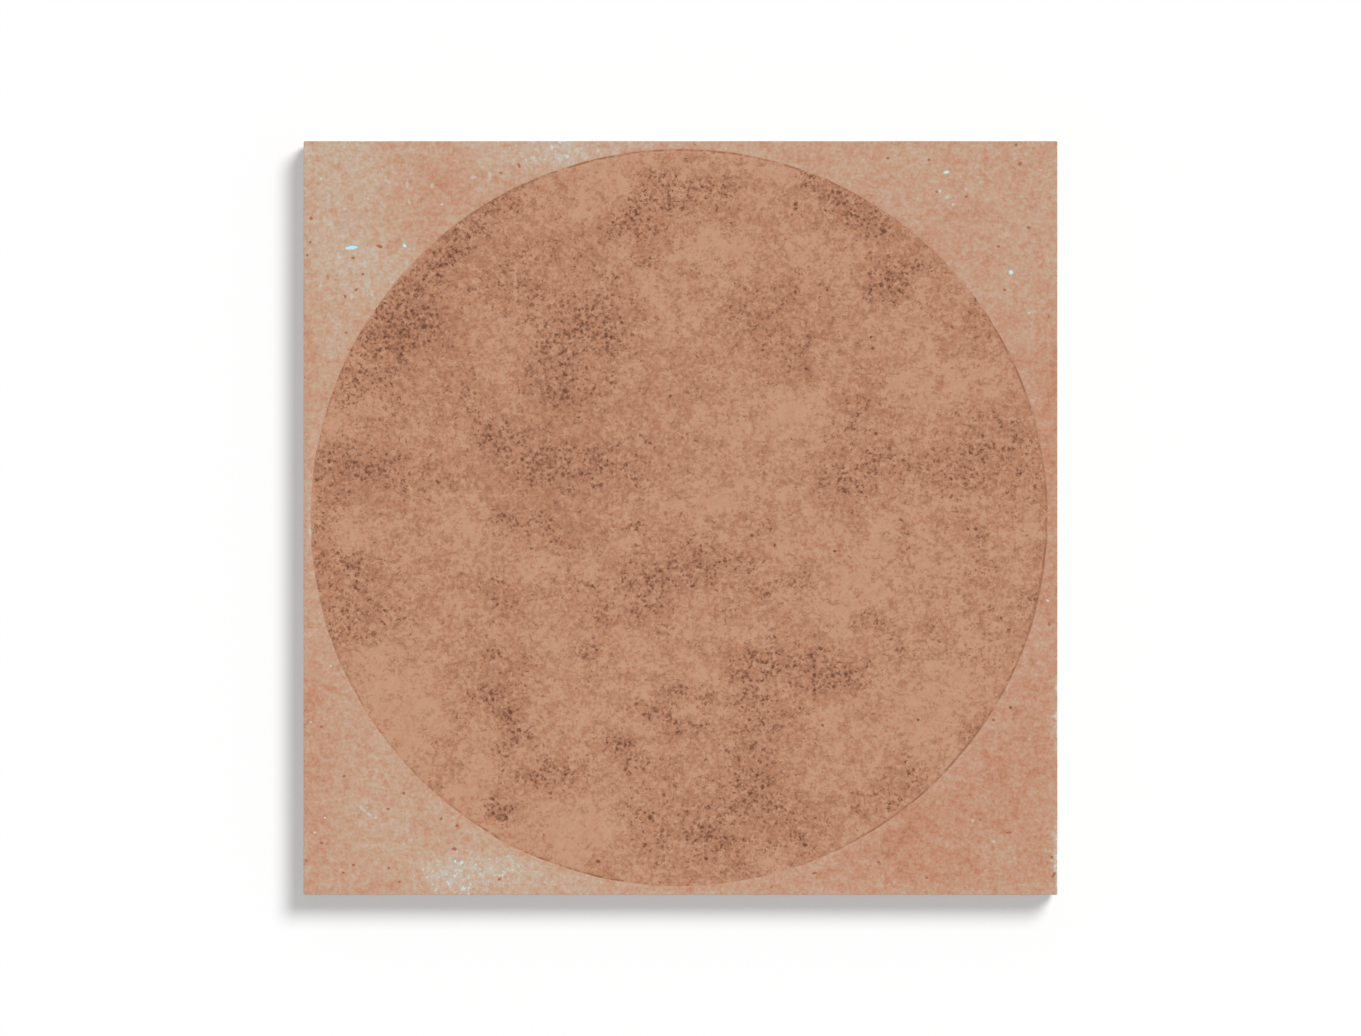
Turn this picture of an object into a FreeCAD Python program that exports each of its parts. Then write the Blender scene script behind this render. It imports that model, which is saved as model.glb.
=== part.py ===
import FreeCAD, Part
import math
import os
import Sketcher

# Terracotta floor tile, pressed and fired as one piece of clay.
# Millimetres. The origin is the middle of the back, and +Z points up through the walking face.

doc = FreeCAD.newDocument("FloorTile")

DRIVING_SIZES = {
    # Body, measured across the upright band under the walking face
    "side_length": 200.0,
    "thickness": 10.0,
    "corner_radius": 0.35,
    "arris_radius": 0.2,
    # Foot: the lower part of the sides leans in, so that the tile leaves its die
    "foot_height": 3.0,
    "foot_inset": 0.8,
    "foot_corner_radius": 0.6,
    # Keyed back: a lattice of ribs that the bedding mortar grips
    "key_border": 10.0,
    "key_rib": 3.0,
    "key_cells_across": 10,
    "key_depth": 0.9,
    "key_draft_angle": 25.0,
    # Disc: a fine scribed line runs round its edge
    "disc_margin": 2.4,
    "line_width": 0.4,
    "line_depth": 0.15,
}

SHEET_NAME = "Sizes"


def size(alias):
    """The expression that reads one driving size."""
    return f"{SHEET_NAME}.{alias}"


def fill_sheet(sizes):
    sheet = doc.addObject("Spreadsheet::Sheet", SHEET_NAME)
    for row, (alias, value) in enumerate(sizes.items(), start=1):
        sheet.set(f"A{row}", alias)
        sheet.set(f"B{row}", str(value))
        sheet.setAlias(f"B{row}", alias)
    doc.recompute()
    return sheet


def origin_feature(body, role):
    for feature in body.Origin.OriginFeatures:
        if feature.Role == role:
            return feature
    raise ValueError(f"the body's origin has no {role}")


def new_sketch(body, name, plane_role):
    sketch = body.newObject("Sketcher::SketchObject", name)
    sketch.AttachmentSupport = [(origin_feature(body, plane_role), "")]
    sketch.MapMode = "FlatFace"
    return sketch


def corner_signs():
    """The corners of a square in turn, anticlockwise from the lower left."""
    return [(-1, -1), (1, -1), (1, 1), (-1, 1)]


def square_up(sketch, sides, corner, opposite, side, side_expression):
    """Sets four sides square, centred on the sketch's origin and as long as the expression says."""
    for index in (0, 2):
        sketch.addConstraint(Sketcher.Constraint("Horizontal", sides[index]))
    for index in (1, 3):
        sketch.addConstraint(Sketcher.Constraint("Vertical", sides[index]))
    sketch.addConstraint(Sketcher.Constraint("Equal", sides[0], sides[1]))
    sketch.addConstraint(Sketcher.Constraint("Symmetric", *corner, *opposite, -1, 1))
    across = sketch.addConstraint(Sketcher.Constraint("DistanceX", sides[3], 1, sides[1], 1, side))
    sketch.setExpression(f"Constraints[{across}]", side_expression)


def draw_square(sketch, side, side_expression):
    half = side / 2
    points = [FreeCAD.Vector(x * half, y * half, 0) for x, y in corner_signs()]
    sides = []
    for index, point in enumerate(points):
        sides.append(sketch.addGeometry(Part.LineSegment(point, points[(index + 1) % 4])))
    for index in range(4):
        next_side = sides[(index + 1) % 4]
        sketch.addConstraint(Sketcher.Constraint("Coincident", sides[index], 2, next_side, 1))
    square_up(sketch, sides, (sides[0], 1), (sides[2], 1), side, side_expression)


def draw_rounded_square(sketch, side, radius, side_expression, radius_expression):
    """A square with an arc at each corner."""
    inner = side / 2 - radius
    centres = [FreeCAD.Vector(x * inner, y * inner, 0) for x, y in corner_signs()]
    upwards = FreeCAD.Vector(0, 0, 1)
    sides = []
    arcs = []
    for index, centre in enumerate(centres):
        next_centre = centres[(index + 1) % 4]
        along = (next_centre - centre).normalize()
        outwards = along.cross(upwards) * radius
        sides.append(sketch.addGeometry(Part.LineSegment(centre + outwards, next_centre + outwards)))
        first_angle = math.radians(180 + 90 * index)
        quarter = Part.ArcOfCircle(
            Part.Circle(centre, upwards, radius), first_angle, first_angle + math.radians(90)
        )
        arcs.append(sketch.addGeometry(quarter))
    for index in range(4):
        next_arc = arcs[(index + 1) % 4]
        sketch.addConstraint(Sketcher.Constraint("Tangent", arcs[index], 2, sides[index], 1))
        sketch.addConstraint(Sketcher.Constraint("Tangent", sides[index], 2, next_arc, 1))
    for arc in arcs[1:]:
        sketch.addConstraint(Sketcher.Constraint("Equal", arcs[0], arc))
    square_up(sketch, sides, (arcs[0], 3), (arcs[2], 3), side, side_expression)
    rounding = sketch.addConstraint(Sketcher.Constraint("Radius", arcs[0], radius))
    sketch.setExpression(f"Constraints[{rounding}]", radius_expression)


def draw_scribed_section(sketch, sheet):
    """The V of the scribed line, open at the walking face, as seen in the XZ plane."""
    face = sheet.thickness
    middle = sheet.side_length / 2 - sheet.disc_margin - sheet.line_width / 2
    outer = middle + sheet.line_width / 2
    inner = middle - sheet.line_width / 2
    points = [
        FreeCAD.Vector(inner, face, 0),
        FreeCAD.Vector(outer, face, 0),
        FreeCAD.Vector(middle, face - sheet.line_depth, 0),
    ]
    edges = []
    for index, point in enumerate(points):
        segment = Part.LineSegment(point, points[(index + 1) % 3])
        edges.append(sketch.addGeometry(segment))
    for index in range(3):
        next_edge = edges[(index + 1) % 3]
        sketch.addConstraint(Sketcher.Constraint("Coincident", edges[index], 2, next_edge, 1))
    sketch.addConstraint(Sketcher.Constraint("Horizontal", edges[0]))
    sketch.addConstraint(Sketcher.Constraint("Equal", edges[1], edges[2]))
    bindings = [
        (("DistanceX", -1, 1, edges[0], 2, outer), f"{size('side_length')} / 2 - {size('disc_margin')}"),
        (("DistanceY", -1, 1, edges[0], 2, face), size("thickness")),
        (("DistanceX", edges[0], 1, edges[0], 2, sheet.line_width), size("line_width")),
        (("DistanceY", edges[1], 2, edges[0], 2, sheet.line_depth), size("line_depth")),
    ]
    for arguments, expression in bindings:
        number = sketch.addConstraint(Sketcher.Constraint(*arguments))
        sketch.setExpression(f"Constraints[{number}]", expression)


def add_foot_and_band(body, sheet):
    """The leaning foot, and the upright band that stands on it up to the walking face."""
    foot_side = f"{size('side_length')} - 2 * {size('foot_inset')}"
    foot_outline = new_sketch(body, "FootOutline", "XY_Plane")
    draw_rounded_square(
        foot_outline,
        sheet.side_length - 2 * sheet.foot_inset,
        sheet.foot_corner_radius,
        foot_side,
        size("foot_corner_radius"),
    )
    band_outline = new_sketch(body, "BandOutline", "XY_Plane")
    band_outline.setExpression("AttachmentOffset.Base.z", size("foot_height"))
    draw_rounded_square(
        band_outline,
        sheet.side_length,
        sheet.corner_radius,
        size("side_length"),
        size("corner_radius"),
    )
    doc.recompute()

    foot = body.newObject("PartDesign::AdditiveLoft", "Foot")
    foot.Profile = foot_outline
    foot.Sections = [band_outline]
    foot.Ruled = True
    doc.recompute()

    band = body.newObject("PartDesign::Pad", "Band")
    band.Profile = band_outline
    band.setExpression("Length", f"{size('thickness')} - {size('foot_height')}")
    doc.recompute()
    return band


def add_arris(body, band, sheet):
    """Rounds the edge all round the walking face."""
    rim = []
    for number, edge in enumerate(band.Shape.Edges, start=1):
        if edge.BoundBox.ZMin > sheet.thickness - sheet.arris_radius:
            rim.append(f"Edge{number}")
    arris = body.newObject("PartDesign::Fillet", "Arris")
    arris.Base = (band, rim)
    arris.setExpression("Radius", size("arris_radius"))
    doc.recompute()
    return arris


def add_key(body, sheet):
    """Sinks one drafted cell in the back and repeats it both ways. What stands between is the rib lattice."""
    room = f"({size('side_length')} - 2 * {size('foot_inset')} - 2 * {size('key_border')})"
    count = size("key_cells_across")
    pitch = f"(({room} + {size('key_rib')}) / {count})"
    cell_side = f"{pitch} - {size('key_rib')}"
    first = f"-({count} - 1) / 2 * {pitch}"

    cell_outline = new_sketch(body, "KeyCellOutline", "XY_Plane")
    cell_outline.setExpression("AttachmentOffset.Base.x", first)
    cell_outline.setExpression("AttachmentOffset.Base.y", first)
    draw_square(cell_outline, sheet.side_length / sheet.key_cells_across, cell_side)
    doc.recompute()

    cell = body.newObject("PartDesign::Pocket", "KeyCell")
    cell.Profile = cell_outline
    cell.Reversed = True
    cell.setExpression("Length", size("key_depth"))
    cell.setExpression("TaperAngle", f"-{size('key_draft_angle')}")
    doc.recompute()

    lattice = body.newObject("PartDesign::MultiTransform", "KeyLattice")
    lattice.Originals = [cell]
    rows = []
    for name, axis in (("KeyColumns", "H_Axis"), ("KeyRows", "V_Axis")):
        row = body.newObject("PartDesign::LinearPattern", name)
        row.Direction = (cell_outline, [axis])
        row.Mode = "Spacing"
        row.setExpression("Offset", pitch)
        row.setExpression("Occurrences", count)
        rows.append(row)
    lattice.Transformations = rows
    body.Tip = lattice
    doc.recompute()
    return lattice


def add_scribed_line(body, sheet):
    """Turns the fine V line round the edge of the disc into the walking face."""
    section = new_sketch(body, "ScribedSection", "XZ_Plane")
    draw_scribed_section(section, sheet)
    doc.recompute()
    line = body.newObject("PartDesign::Groove", "ScribedLine")
    line.Profile = section
    line.ReferenceAxis = (origin_feature(body, "Z_Axis"), [""])
    line.Angle = 360
    body.Tip = line
    doc.recompute()
    return line


def require_smaller(feature, earlier):
    if not feature.Shape.Volume < earlier.Shape.Volume:
        raise ValueError(f"{feature.Name} cut nothing")


def build_tile(sheet):
    body = doc.addObject("PartDesign::Body", "Tile")
    body.Label = "tile"
    band = add_foot_and_band(body, sheet)
    arris = add_arris(body, band, sheet)
    lattice = add_key(body, sheet)
    line = add_scribed_line(body, sheet)
    require_smaller(arris, band)
    require_smaller(lattice, arris)
    require_smaller(line, lattice)
    body.Placement = FreeCAD.Placement(FreeCAD.Vector(0, 0, 0), FreeCAD.Rotation())
    return body


def check_document(bodies):
    for item in doc.Objects:
        if "Invalid" in item.State or "Error" in item.State:
            raise ValueError(f"{item.Name} failed: {item.State}")
    for body in bodies:
        if body.Shape.isNull() or not body.Shape.isValid():
            raise ValueError(f"{body.Label} has no valid shape")


sizes_sheet = fill_sheet(DRIVING_SIZES)
bodies = [build_tile(sizes_sheet)]
doc.recompute()
check_document(bodies)

os.makedirs("parts", exist_ok=True)
for finished in bodies:
    finished.Shape.exportStep(f"parts/{finished.Label}.step")
    box = finished.Shape.BoundBox
    print(
        f"{finished.Label}: {box.XLength:.2f} x {box.YLength:.2f} x {box.ZLength:.2f} mm, "
        f"{len(finished.Shape.Solids)} solid, {finished.Shape.Volume / 1000:.1f} cm3"
    )
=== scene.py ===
import math

import bmesh
import bpy
import numpy as np
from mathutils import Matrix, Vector, noise


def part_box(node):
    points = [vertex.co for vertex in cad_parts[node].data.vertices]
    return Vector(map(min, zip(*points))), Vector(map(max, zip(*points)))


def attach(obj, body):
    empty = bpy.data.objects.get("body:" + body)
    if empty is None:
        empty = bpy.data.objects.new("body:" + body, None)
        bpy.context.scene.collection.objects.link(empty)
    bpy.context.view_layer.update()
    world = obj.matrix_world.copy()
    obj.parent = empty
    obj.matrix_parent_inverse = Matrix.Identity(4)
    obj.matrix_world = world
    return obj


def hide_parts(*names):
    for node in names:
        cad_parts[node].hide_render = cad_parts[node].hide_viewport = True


# Terracotta floor tile with a stained disc on its face, lying on pale paper and seen from straight above.
# Lengths are in metres unless a name says Mm. Colours are written as they look, 0 to 255.

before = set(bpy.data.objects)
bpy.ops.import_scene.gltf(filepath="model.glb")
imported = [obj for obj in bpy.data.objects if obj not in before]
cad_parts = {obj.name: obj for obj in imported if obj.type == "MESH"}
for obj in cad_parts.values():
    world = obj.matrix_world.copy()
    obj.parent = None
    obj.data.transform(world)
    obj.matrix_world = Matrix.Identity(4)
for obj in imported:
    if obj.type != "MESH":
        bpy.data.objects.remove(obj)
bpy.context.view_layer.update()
tileLow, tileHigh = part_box("tile")
print("frame loaded, tile", [round(1000 * (b - a), 2) for a, b in zip(tileLow, tileHigh)], "mm")


# Camera, paper and light
studio = {
    "pictureWidth": 1361,          # pixels
    "tileInPicture": 754,          # pixels that the tile's side takes
    "lens": 300,
    "sensor": 36,
    "paperSize": 8.0,
    "paperShade": 0.62,            # the rest, up to white, is glow that only the camera sees
    "skyLight": 0.195,             # share of the light on the face that comes from all round
    "sunLight": 0.805,             # share that comes from the lamp
    "sunHeight": 50.6,               # degrees above the horizon
    "sunBearing": (5.4, 6.2),     # towards the upper right
    "sunSpread": 25,               # degrees, gives the soft edge of the shadow
}


def makeCamera(look, faceHeight, side):
    camera = bpy.data.cameras.new("camera")
    camera.lens = look["lens"]
    camera.sensor_width = look["sensor"]
    camera.clip_start = 0.01
    camera.clip_end = 100
    holder = bpy.data.objects.new("camera", camera)
    bpy.context.scene.collection.objects.link(holder)
    pixel = side / look["tileInPicture"]
    distance = look["pictureWidth"] * pixel * look["lens"] / look["sensor"]
    holder.location = (0, 0, faceHeight + distance)
    bpy.context.scene.camera = holder
    return holder


def makeLamp(look):
    sun = bpy.data.lights.new("windowLight", "SUN")
    height = math.radians(look["sunHeight"])
    sun.energy = look["sunLight"] * math.pi / math.sin(height)
    sun.angle = math.radians(look["sunSpread"])
    across = Vector(look["sunBearing"]).normalized() * math.cos(height)
    towards = Vector((across.x, across.y, math.sin(height)))
    holder = bpy.data.objects.new("windowLight", sun)
    bpy.context.scene.collection.objects.link(holder)
    holder.rotation_mode = "QUATERNION"
    holder.rotation_quaternion = towards.to_track_quat("Z", "Y")
    holder.location = towards * 2
    return holder


# Small helpers for node trees
def addNode(tree, kind, **settings):
    made = tree.nodes.new(kind)
    for name, value in settings.items():
        setattr(made, name, value)
    return made


def feed(tree, socket, value):
    if isinstance(value, bpy.types.NodeSocket):
        tree.links.new(value, socket)
    else:
        socket.default_value = value


def maths(tree, operation, first, second=0.0, third=0.0, clamp=False):
    made = addNode(tree, "ShaderNodeMath", operation=operation, use_clamp=clamp)
    feed(tree, made.inputs[0], first)
    feed(tree, made.inputs[1], second)
    feed(tree, made.inputs[2], third)
    return made.outputs[0]


def ease(tree, value, low, high, fromValue=0.0, toValue=1.0):
    made = addNode(tree, "ShaderNodeMapRange", interpolation_type="SMOOTHSTEP")
    for index, given in enumerate((value, low, high, fromValue, toValue)):
        feed(tree, made.inputs[index], given)
    return made.outputs[0]


def mixColours(tree, share, under, over):
    made = addNode(tree, "ShaderNodeMix", data_type="RGBA", clamp_factor=True)
    feed(tree, made.inputs[0], share)
    feed(tree, made.inputs[6], under)
    feed(tree, made.inputs[7], over)
    return made.outputs[2]


def grain(tree, place, perMm, detail=2.0, roughness=0.5, distortion=0.0):
    made = addNode(tree, "ShaderNodeTexNoise")
    feed(tree, made.inputs["Vector"], place)
    made.inputs["Scale"].default_value = perMm
    made.inputs["Detail"].default_value = detail
    made.inputs["Roughness"].default_value = roughness
    made.inputs["Distortion"].default_value = distortion
    return made.outputs["Fac"]


def painted(tree, name):
    made = addNode(tree, "ShaderNodeAttribute", attribute_name=name)
    return made.outputs["Fac"]


def tint(red, green, blue):
    # as seen, 0 to 255, to the linear values that nodes take
    linear = []
    for part in (red, green, blue):
        share = part / 255
        linear.append(share / 12.92 if share <= 0.04045 else ((share + 0.055) / 1.055) ** 2.4)
    return (*linear, 1.0)


def makePaper(look):
    material = bpy.data.materials.new("paper")
    material.use_nodes = True
    tree = material.node_tree
    tree.nodes.clear()
    shade = look["paperShade"]
    matt = addNode(tree, "ShaderNodeBsdfDiffuse")
    matt.inputs["Color"].default_value = (shade, shade, shade, 1)
    glow = addNode(tree, "ShaderNodeEmission")
    glow.inputs["Color"].default_value = (1, 1, 1, 1)
    path = addNode(tree, "ShaderNodeLightPath")
    seen = maths(tree, "MAXIMUM", path.outputs["Is Camera Ray"], path.outputs["Is Glossy Ray"])
    seen = maths(tree, "MAXIMUM", seen, path.outputs["Is Transmission Ray"])
    feed(tree, glow.inputs["Strength"], maths(tree, "MULTIPLY", seen, 1 - shade))
    both = addNode(tree, "ShaderNodeAddShader")
    feed(tree, both.inputs[0], matt.outputs[0])
    feed(tree, both.inputs[1], glow.outputs[0])
    out = addNode(tree, "ShaderNodeOutputMaterial")
    feed(tree, out.inputs["Surface"], both.outputs[0])

    bm = bmesh.new()
    bmesh.ops.create_grid(bm, x_segments=1, y_segments=1, size=look["paperSize"] / 2)
    mesh = bpy.data.meshes.new("paper")
    bm.to_mesh(mesh)
    bm.free()
    mesh.materials.append(material)
    paper = bpy.data.objects.new("paper", mesh)
    bpy.context.scene.collection.objects.link(paper)
    return paper


def makeSky(look):
    world = bpy.data.worlds.new("softbox")
    world.use_nodes = True
    bpy.context.scene.world = world
    tree = world.node_tree
    tree.nodes.clear()
    path = addNode(tree, "ShaderNodeLightPath")
    seen = maths(tree, "MAXIMUM", path.outputs["Is Camera Ray"], path.outputs["Is Transmission Ray"])
    back = addNode(tree, "ShaderNodeBackground")
    back.inputs["Color"].default_value = (1, 1, 1, 1)
    strength = addNode(tree, "ShaderNodeMapRange")
    for index, given in enumerate((seen, 0.0, 1.0, look["skyLight"], 1.0)):
        feed(tree, strength.inputs[index], given)
    feed(tree, back.inputs["Strength"], strength.outputs[0])
    out = addNode(tree, "ShaderNodeOutputWorld")
    feed(tree, out.inputs["Surface"], back.outputs[0])


makeCamera(studio, tileHigh.z, tileHigh.x - tileLow.x)
makeLamp(studio)
makeSky(studio)
makePaper(studio)
bpy.context.scene.view_settings.view_transform = "Standard"
print("studio ready")


# Tile: one pressed and fired body, with the disc scribed and stained on its face
tile = {
    "side": tileHigh.x - tileLow.x,
    "thickness": tileHigh.z - tileLow.z,
    "cornerRadius": 0.00035,
    "arrisRadius": 0.00007,
    "footHeight": 0.003,
    "footInset": 0.0008,
    "footCornerRadius": 0.0006,
    "lineMiddle": 0.0977,          # radius of the scribed line round the disc
    "discAside": (-0.00037, 0.00017),   # the disc isn't quite in the middle
    "lineWidth": 0.0004,
    "lineDepth": 0.00006,          # where it is clearest
    "lineWander": 0.00022,         # how far the line strays from a true circle
    "faceDish": 0.00004,           # unevenness of the face
    "sideWave": 0.00006,           # unevenness of the sides
    "discQuads": 180,              # faces across the disc
    "groundRings": 40,
    "arrisRings": 4,
    "bandRings": 4,
    "footRings": 3,
    "cornerCrowd": 0.0055,         # how near a corner the rings bunch up
    "keyBorder": 0.010,
    "keyRib": 0.003,
    "keyCells": 10,
    "keyDepth": 0.0009,
    "keyDraft": 25,                # degrees
    "keySoftness": 0.0002,
    "keyStrip": 0.003,
}


# Where the scribed line shows: the bearing of its middle, how far it reaches either way in degrees, strength
lineStretches = [
    (122, 5, 0.5), (112, 5, 0.95), (104, 6, 0.9), (95, 7, 0.6), (84, 9, 0.65), (74, 5, 0.45), (66, 4, 0.35),
    (48, 6, 0.2), (29, 4, 0.6), (22, 2.5, 1.1), (14, 6, 0.4), (3, 6, 0.55), (-8, 8, 0.75), (-18, 4, 0.35),
    (-26, 6, 0.55), (-35, 5, 0.7), (-43, 5, 0.6), (-50, 5, 0.75), (-57, 5, 0.45), (-65, 6, 0.2), (-103, 6, 0.85),
    (-112, 5, 0.55), (-120, 4, 0.5), (-129, 6, 0.35), (-148, 14, 0.27), (158, 9, 0.4),
]


def lineClear(angle):
    clear = 0
    for middle, reach, strength in lineStretches:
        turned = (math.degrees(angle) - middle + 180) % 360 - 180
        clear = max(clear, strength * math.exp(-((turned / reach) ** 4)))
    return clear


def discWander(angle):
    around = Vector((math.cos(angle), math.sin(angle), 0))
    slow = noise.noise(around * 5 + Vector((3.1, 7.7, 0.4)))
    quick = noise.noise(around * 19 + Vector((9.2, 1.3, 2.6)))
    return tile["lineWander"] * (0.9 * slow + 0.7 * quick)


def discPoint(seat, radius):
    # a square grid pulled round until its edge is a circle
    x = seat.x * math.sqrt(1 - seat.y ** 2 / 2)
    y = seat.y * math.sqrt(1 - seat.x ** 2 / 2)
    share = math.hypot(x, y)
    wander = discWander(math.atan2(y, x)) * share ** 6
    aside = tile["discAside"]
    return Vector((x * (radius + wander) + aside[0], y * (radius + wander) + aside[1], 0))


def outlinePoint(seat, half, radius):
    # the same place on a square with rounded corners
    xLeads = abs(seat.x) >= abs(seat.y)
    main, along = (seat.x, seat.y) if xLeads else (seat.y, seat.x)
    fromCorner = (1 - abs(along)) * half
    run = fromCorner * (1 - math.exp(-((fromCorner / tile["cornerCrowd"]) ** 1.6)))
    arcHalf = radius * math.pi / 4
    run *= (half - radius + arcHalf) / half
    if run < arcHalf:
        turn = math.pi / 4 - run / radius
        outward = half - radius + radius * math.cos(turn)
        sideways = half - radius + radius * math.sin(turn)
    else:
        outward = half
        sideways = half - radius - (run - arcHalf)
    outward = math.copysign(outward, main)
    sideways = math.copysign(sideways, along)
    return Vector((outward, sideways, 0)) if xLeads else Vector((sideways, outward, 0))


def rimLoop(geometry):
    return [item for item in geometry if isinstance(item, bmesh.types.BMEdge) and item.is_boundary]


def nextRing(bm, rim, seats, place):
    made = bmesh.ops.extrude_edge_only(bm, edges=rim)["geom"]
    for item in made:
        if isinstance(item, bmesh.types.BMVert):
            item.co = place(item[seats])
    return rimLoop(made)


def liftedTo(point, height):
    return Vector((point.x, point.y, height))


def makeFace(bm, seats):
    top = tile["thickness"]
    half = tile["side"] / 2
    count = tile["discQuads"]
    bmesh.ops.create_grid(bm, x_segments=count, y_segments=count, size=1.0)
    innerLine = tile["lineMiddle"] - tile["lineWidth"] / 2
    outerLine = tile["lineMiddle"] + tile["lineWidth"] / 2
    for vert in bm.verts:
        vert[seats] = vert.co
        vert.co = liftedTo(discPoint(vert[seats], innerLine), top)
    rim = rimLoop(bm.edges)

    def groove(seat):
        clear = lineClear(math.atan2(seat.y, seat.x))
        return liftedTo(discPoint(seat, tile["lineMiddle"]), top - tile["lineDepth"] * (0.1 + clear))

    rim = nextRing(bm, rim, seats, groove)
    rim = nextRing(bm, rim, seats, lambda seat: liftedTo(discPoint(seat, outerLine), top))
    arris = tile["arrisRadius"]
    for ring in range(1, tile["groundRings"] + 1):
        share = 1 - (1 - ring / tile["groundRings"]) ** 1.3   # closer together towards the edge

        def ground(seat, share=share):
            start = discPoint(seat, outerLine)
            end = outlinePoint(seat, half - arris, tile["cornerRadius"] - arris)
            return liftedTo(start.lerp(end, share), top)

        rim = nextRing(bm, rim, seats, ground)
    return rim


def makeSides(bm, seats, rim):
    top = tile["thickness"]
    half = tile["side"] / 2
    arris = tile["arrisRadius"]
    for ring in range(1, tile["arrisRings"] + 1):
        turn = math.pi / 2 * ring / tile["arrisRings"]
        inset = arris * (1 - math.sin(turn))
        drop = arris * (1 - math.cos(turn))

        def rounded(seat, inset=inset, drop=drop):
            return liftedTo(outlinePoint(seat, half - inset, tile["cornerRadius"] - inset), top - drop)

        rim = nextRing(bm, rim, seats, rounded)
    bandTop = top - arris
    for ring in range(1, tile["bandRings"] + 1):
        height = bandTop + (tile["footHeight"] - bandTop) * ring / tile["bandRings"]

        def band(seat, height=height):
            return liftedTo(outlinePoint(seat, half, tile["cornerRadius"]), height)

        rim = nextRing(bm, rim, seats, band)
    for ring in range(1, tile["footRings"] + 1):
        share = ring / tile["footRings"]

        def foot(seat, share=share):
            start = outlinePoint(seat, half, tile["cornerRadius"])
            end = outlinePoint(seat, half - tile["footInset"], tile["footCornerRadius"])
            return liftedTo(start.lerp(end, share), tile["footHeight"] * (1 - share))

        rim = nextRing(bm, rim, seats, foot)

    def underside(seat):
        return outlinePoint(seat, half - tile["footInset"] - 0.001, tile["footCornerRadius"])

    return nextRing(bm, rim, seats, underside)


def makeKeyedBack(bm, rim):
    half = tile["side"] / 2 - tile["footInset"] - tile["keyBorder"]
    count = tile["keyCells"]
    pitch = (2 * half + tile["keyRib"]) / count
    lines = [-half - tile["keyStrip"]]
    for cell in range(count):
        start = -half + cell * pitch
        lines += [start, start + pitch - tile["keyRib"]]
    lines.append(half + tile["keyStrip"])
    spans = len(lines) - 1
    grid = bmesh.ops.create_grid(bm, x_segments=spans, y_segments=spans, size=1.0)["verts"]
    cells = []
    for vert in grid:
        column = round((vert.co.x + 1) / 2 * spans)
        row = round((vert.co.y + 1) / 2 * spans)
        vert.co = Vector((lines[column], lines[row], 0))
    cellSide = pitch - tile["keyRib"]
    faces = list(dict.fromkeys(face for vert in grid for face in vert.link_faces))
    cells = [face for face in faces if abs(face.calc_area() - cellSide ** 2) < 1e-7]
    latticeRim = [edge for edge in dict.fromkeys(e for f in faces for e in f.edges) if edge.is_boundary]
    bmesh.ops.triangle_fill(bm, edges=rim + latticeRim, use_beauty=True)

    # the cells lean in as they sink, so that the wet clay leaves the die
    lean = tile["keyDepth"] * math.tan(math.radians(tile["keyDraft"]))
    walls = bmesh.ops.inset_individual(bm, faces=cells, thickness=lean, depth=tile["keyDepth"])["faces"]
    soften = list(dict.fromkeys(edge for face in walls for edge in face.edges))
    bmesh.ops.bevel(
        bm, geom=soften, offset=tile["keySoftness"], offset_type="OFFSET", segments=2,
        profile=0.5, affect="EDGES", clamp_overlap=True, material=-1,
    )
    return len(cells)


def roughen(bm):
    top = tile["thickness"]
    half = tile["side"] / 2
    for vert in bm.verts:
        place = vert.co.copy()
        if place.z > top - 0.001:
            roll = noise.noise(place * 28) + 0.5 * noise.noise(place * 90 + Vector((5, 2, 0)))
            vert.co.z -= tile["faceDish"] * max(0, 0.5 + 0.5 * roll)
        edge = max(abs(place.x), abs(place.y))
        if edge > half - 0.003 and place.z > 0.0001:
            wave = noise.noise(place * 70) + 0.6 * noise.noise(place * 310 + Vector((1, 4, 2)))
            inward = tile["sideWave"] * max(0, 0.5 + 0.5 * wave)
            share = min(1, (edge - half + 0.003) / 0.003)
            if abs(place.x) > half - 0.003:
                vert.co.x -= math.copysign(inward * share, place.x)
            if abs(place.y) > half - 0.003:
                vert.co.y -= math.copysign(inward * share, place.y)


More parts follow.
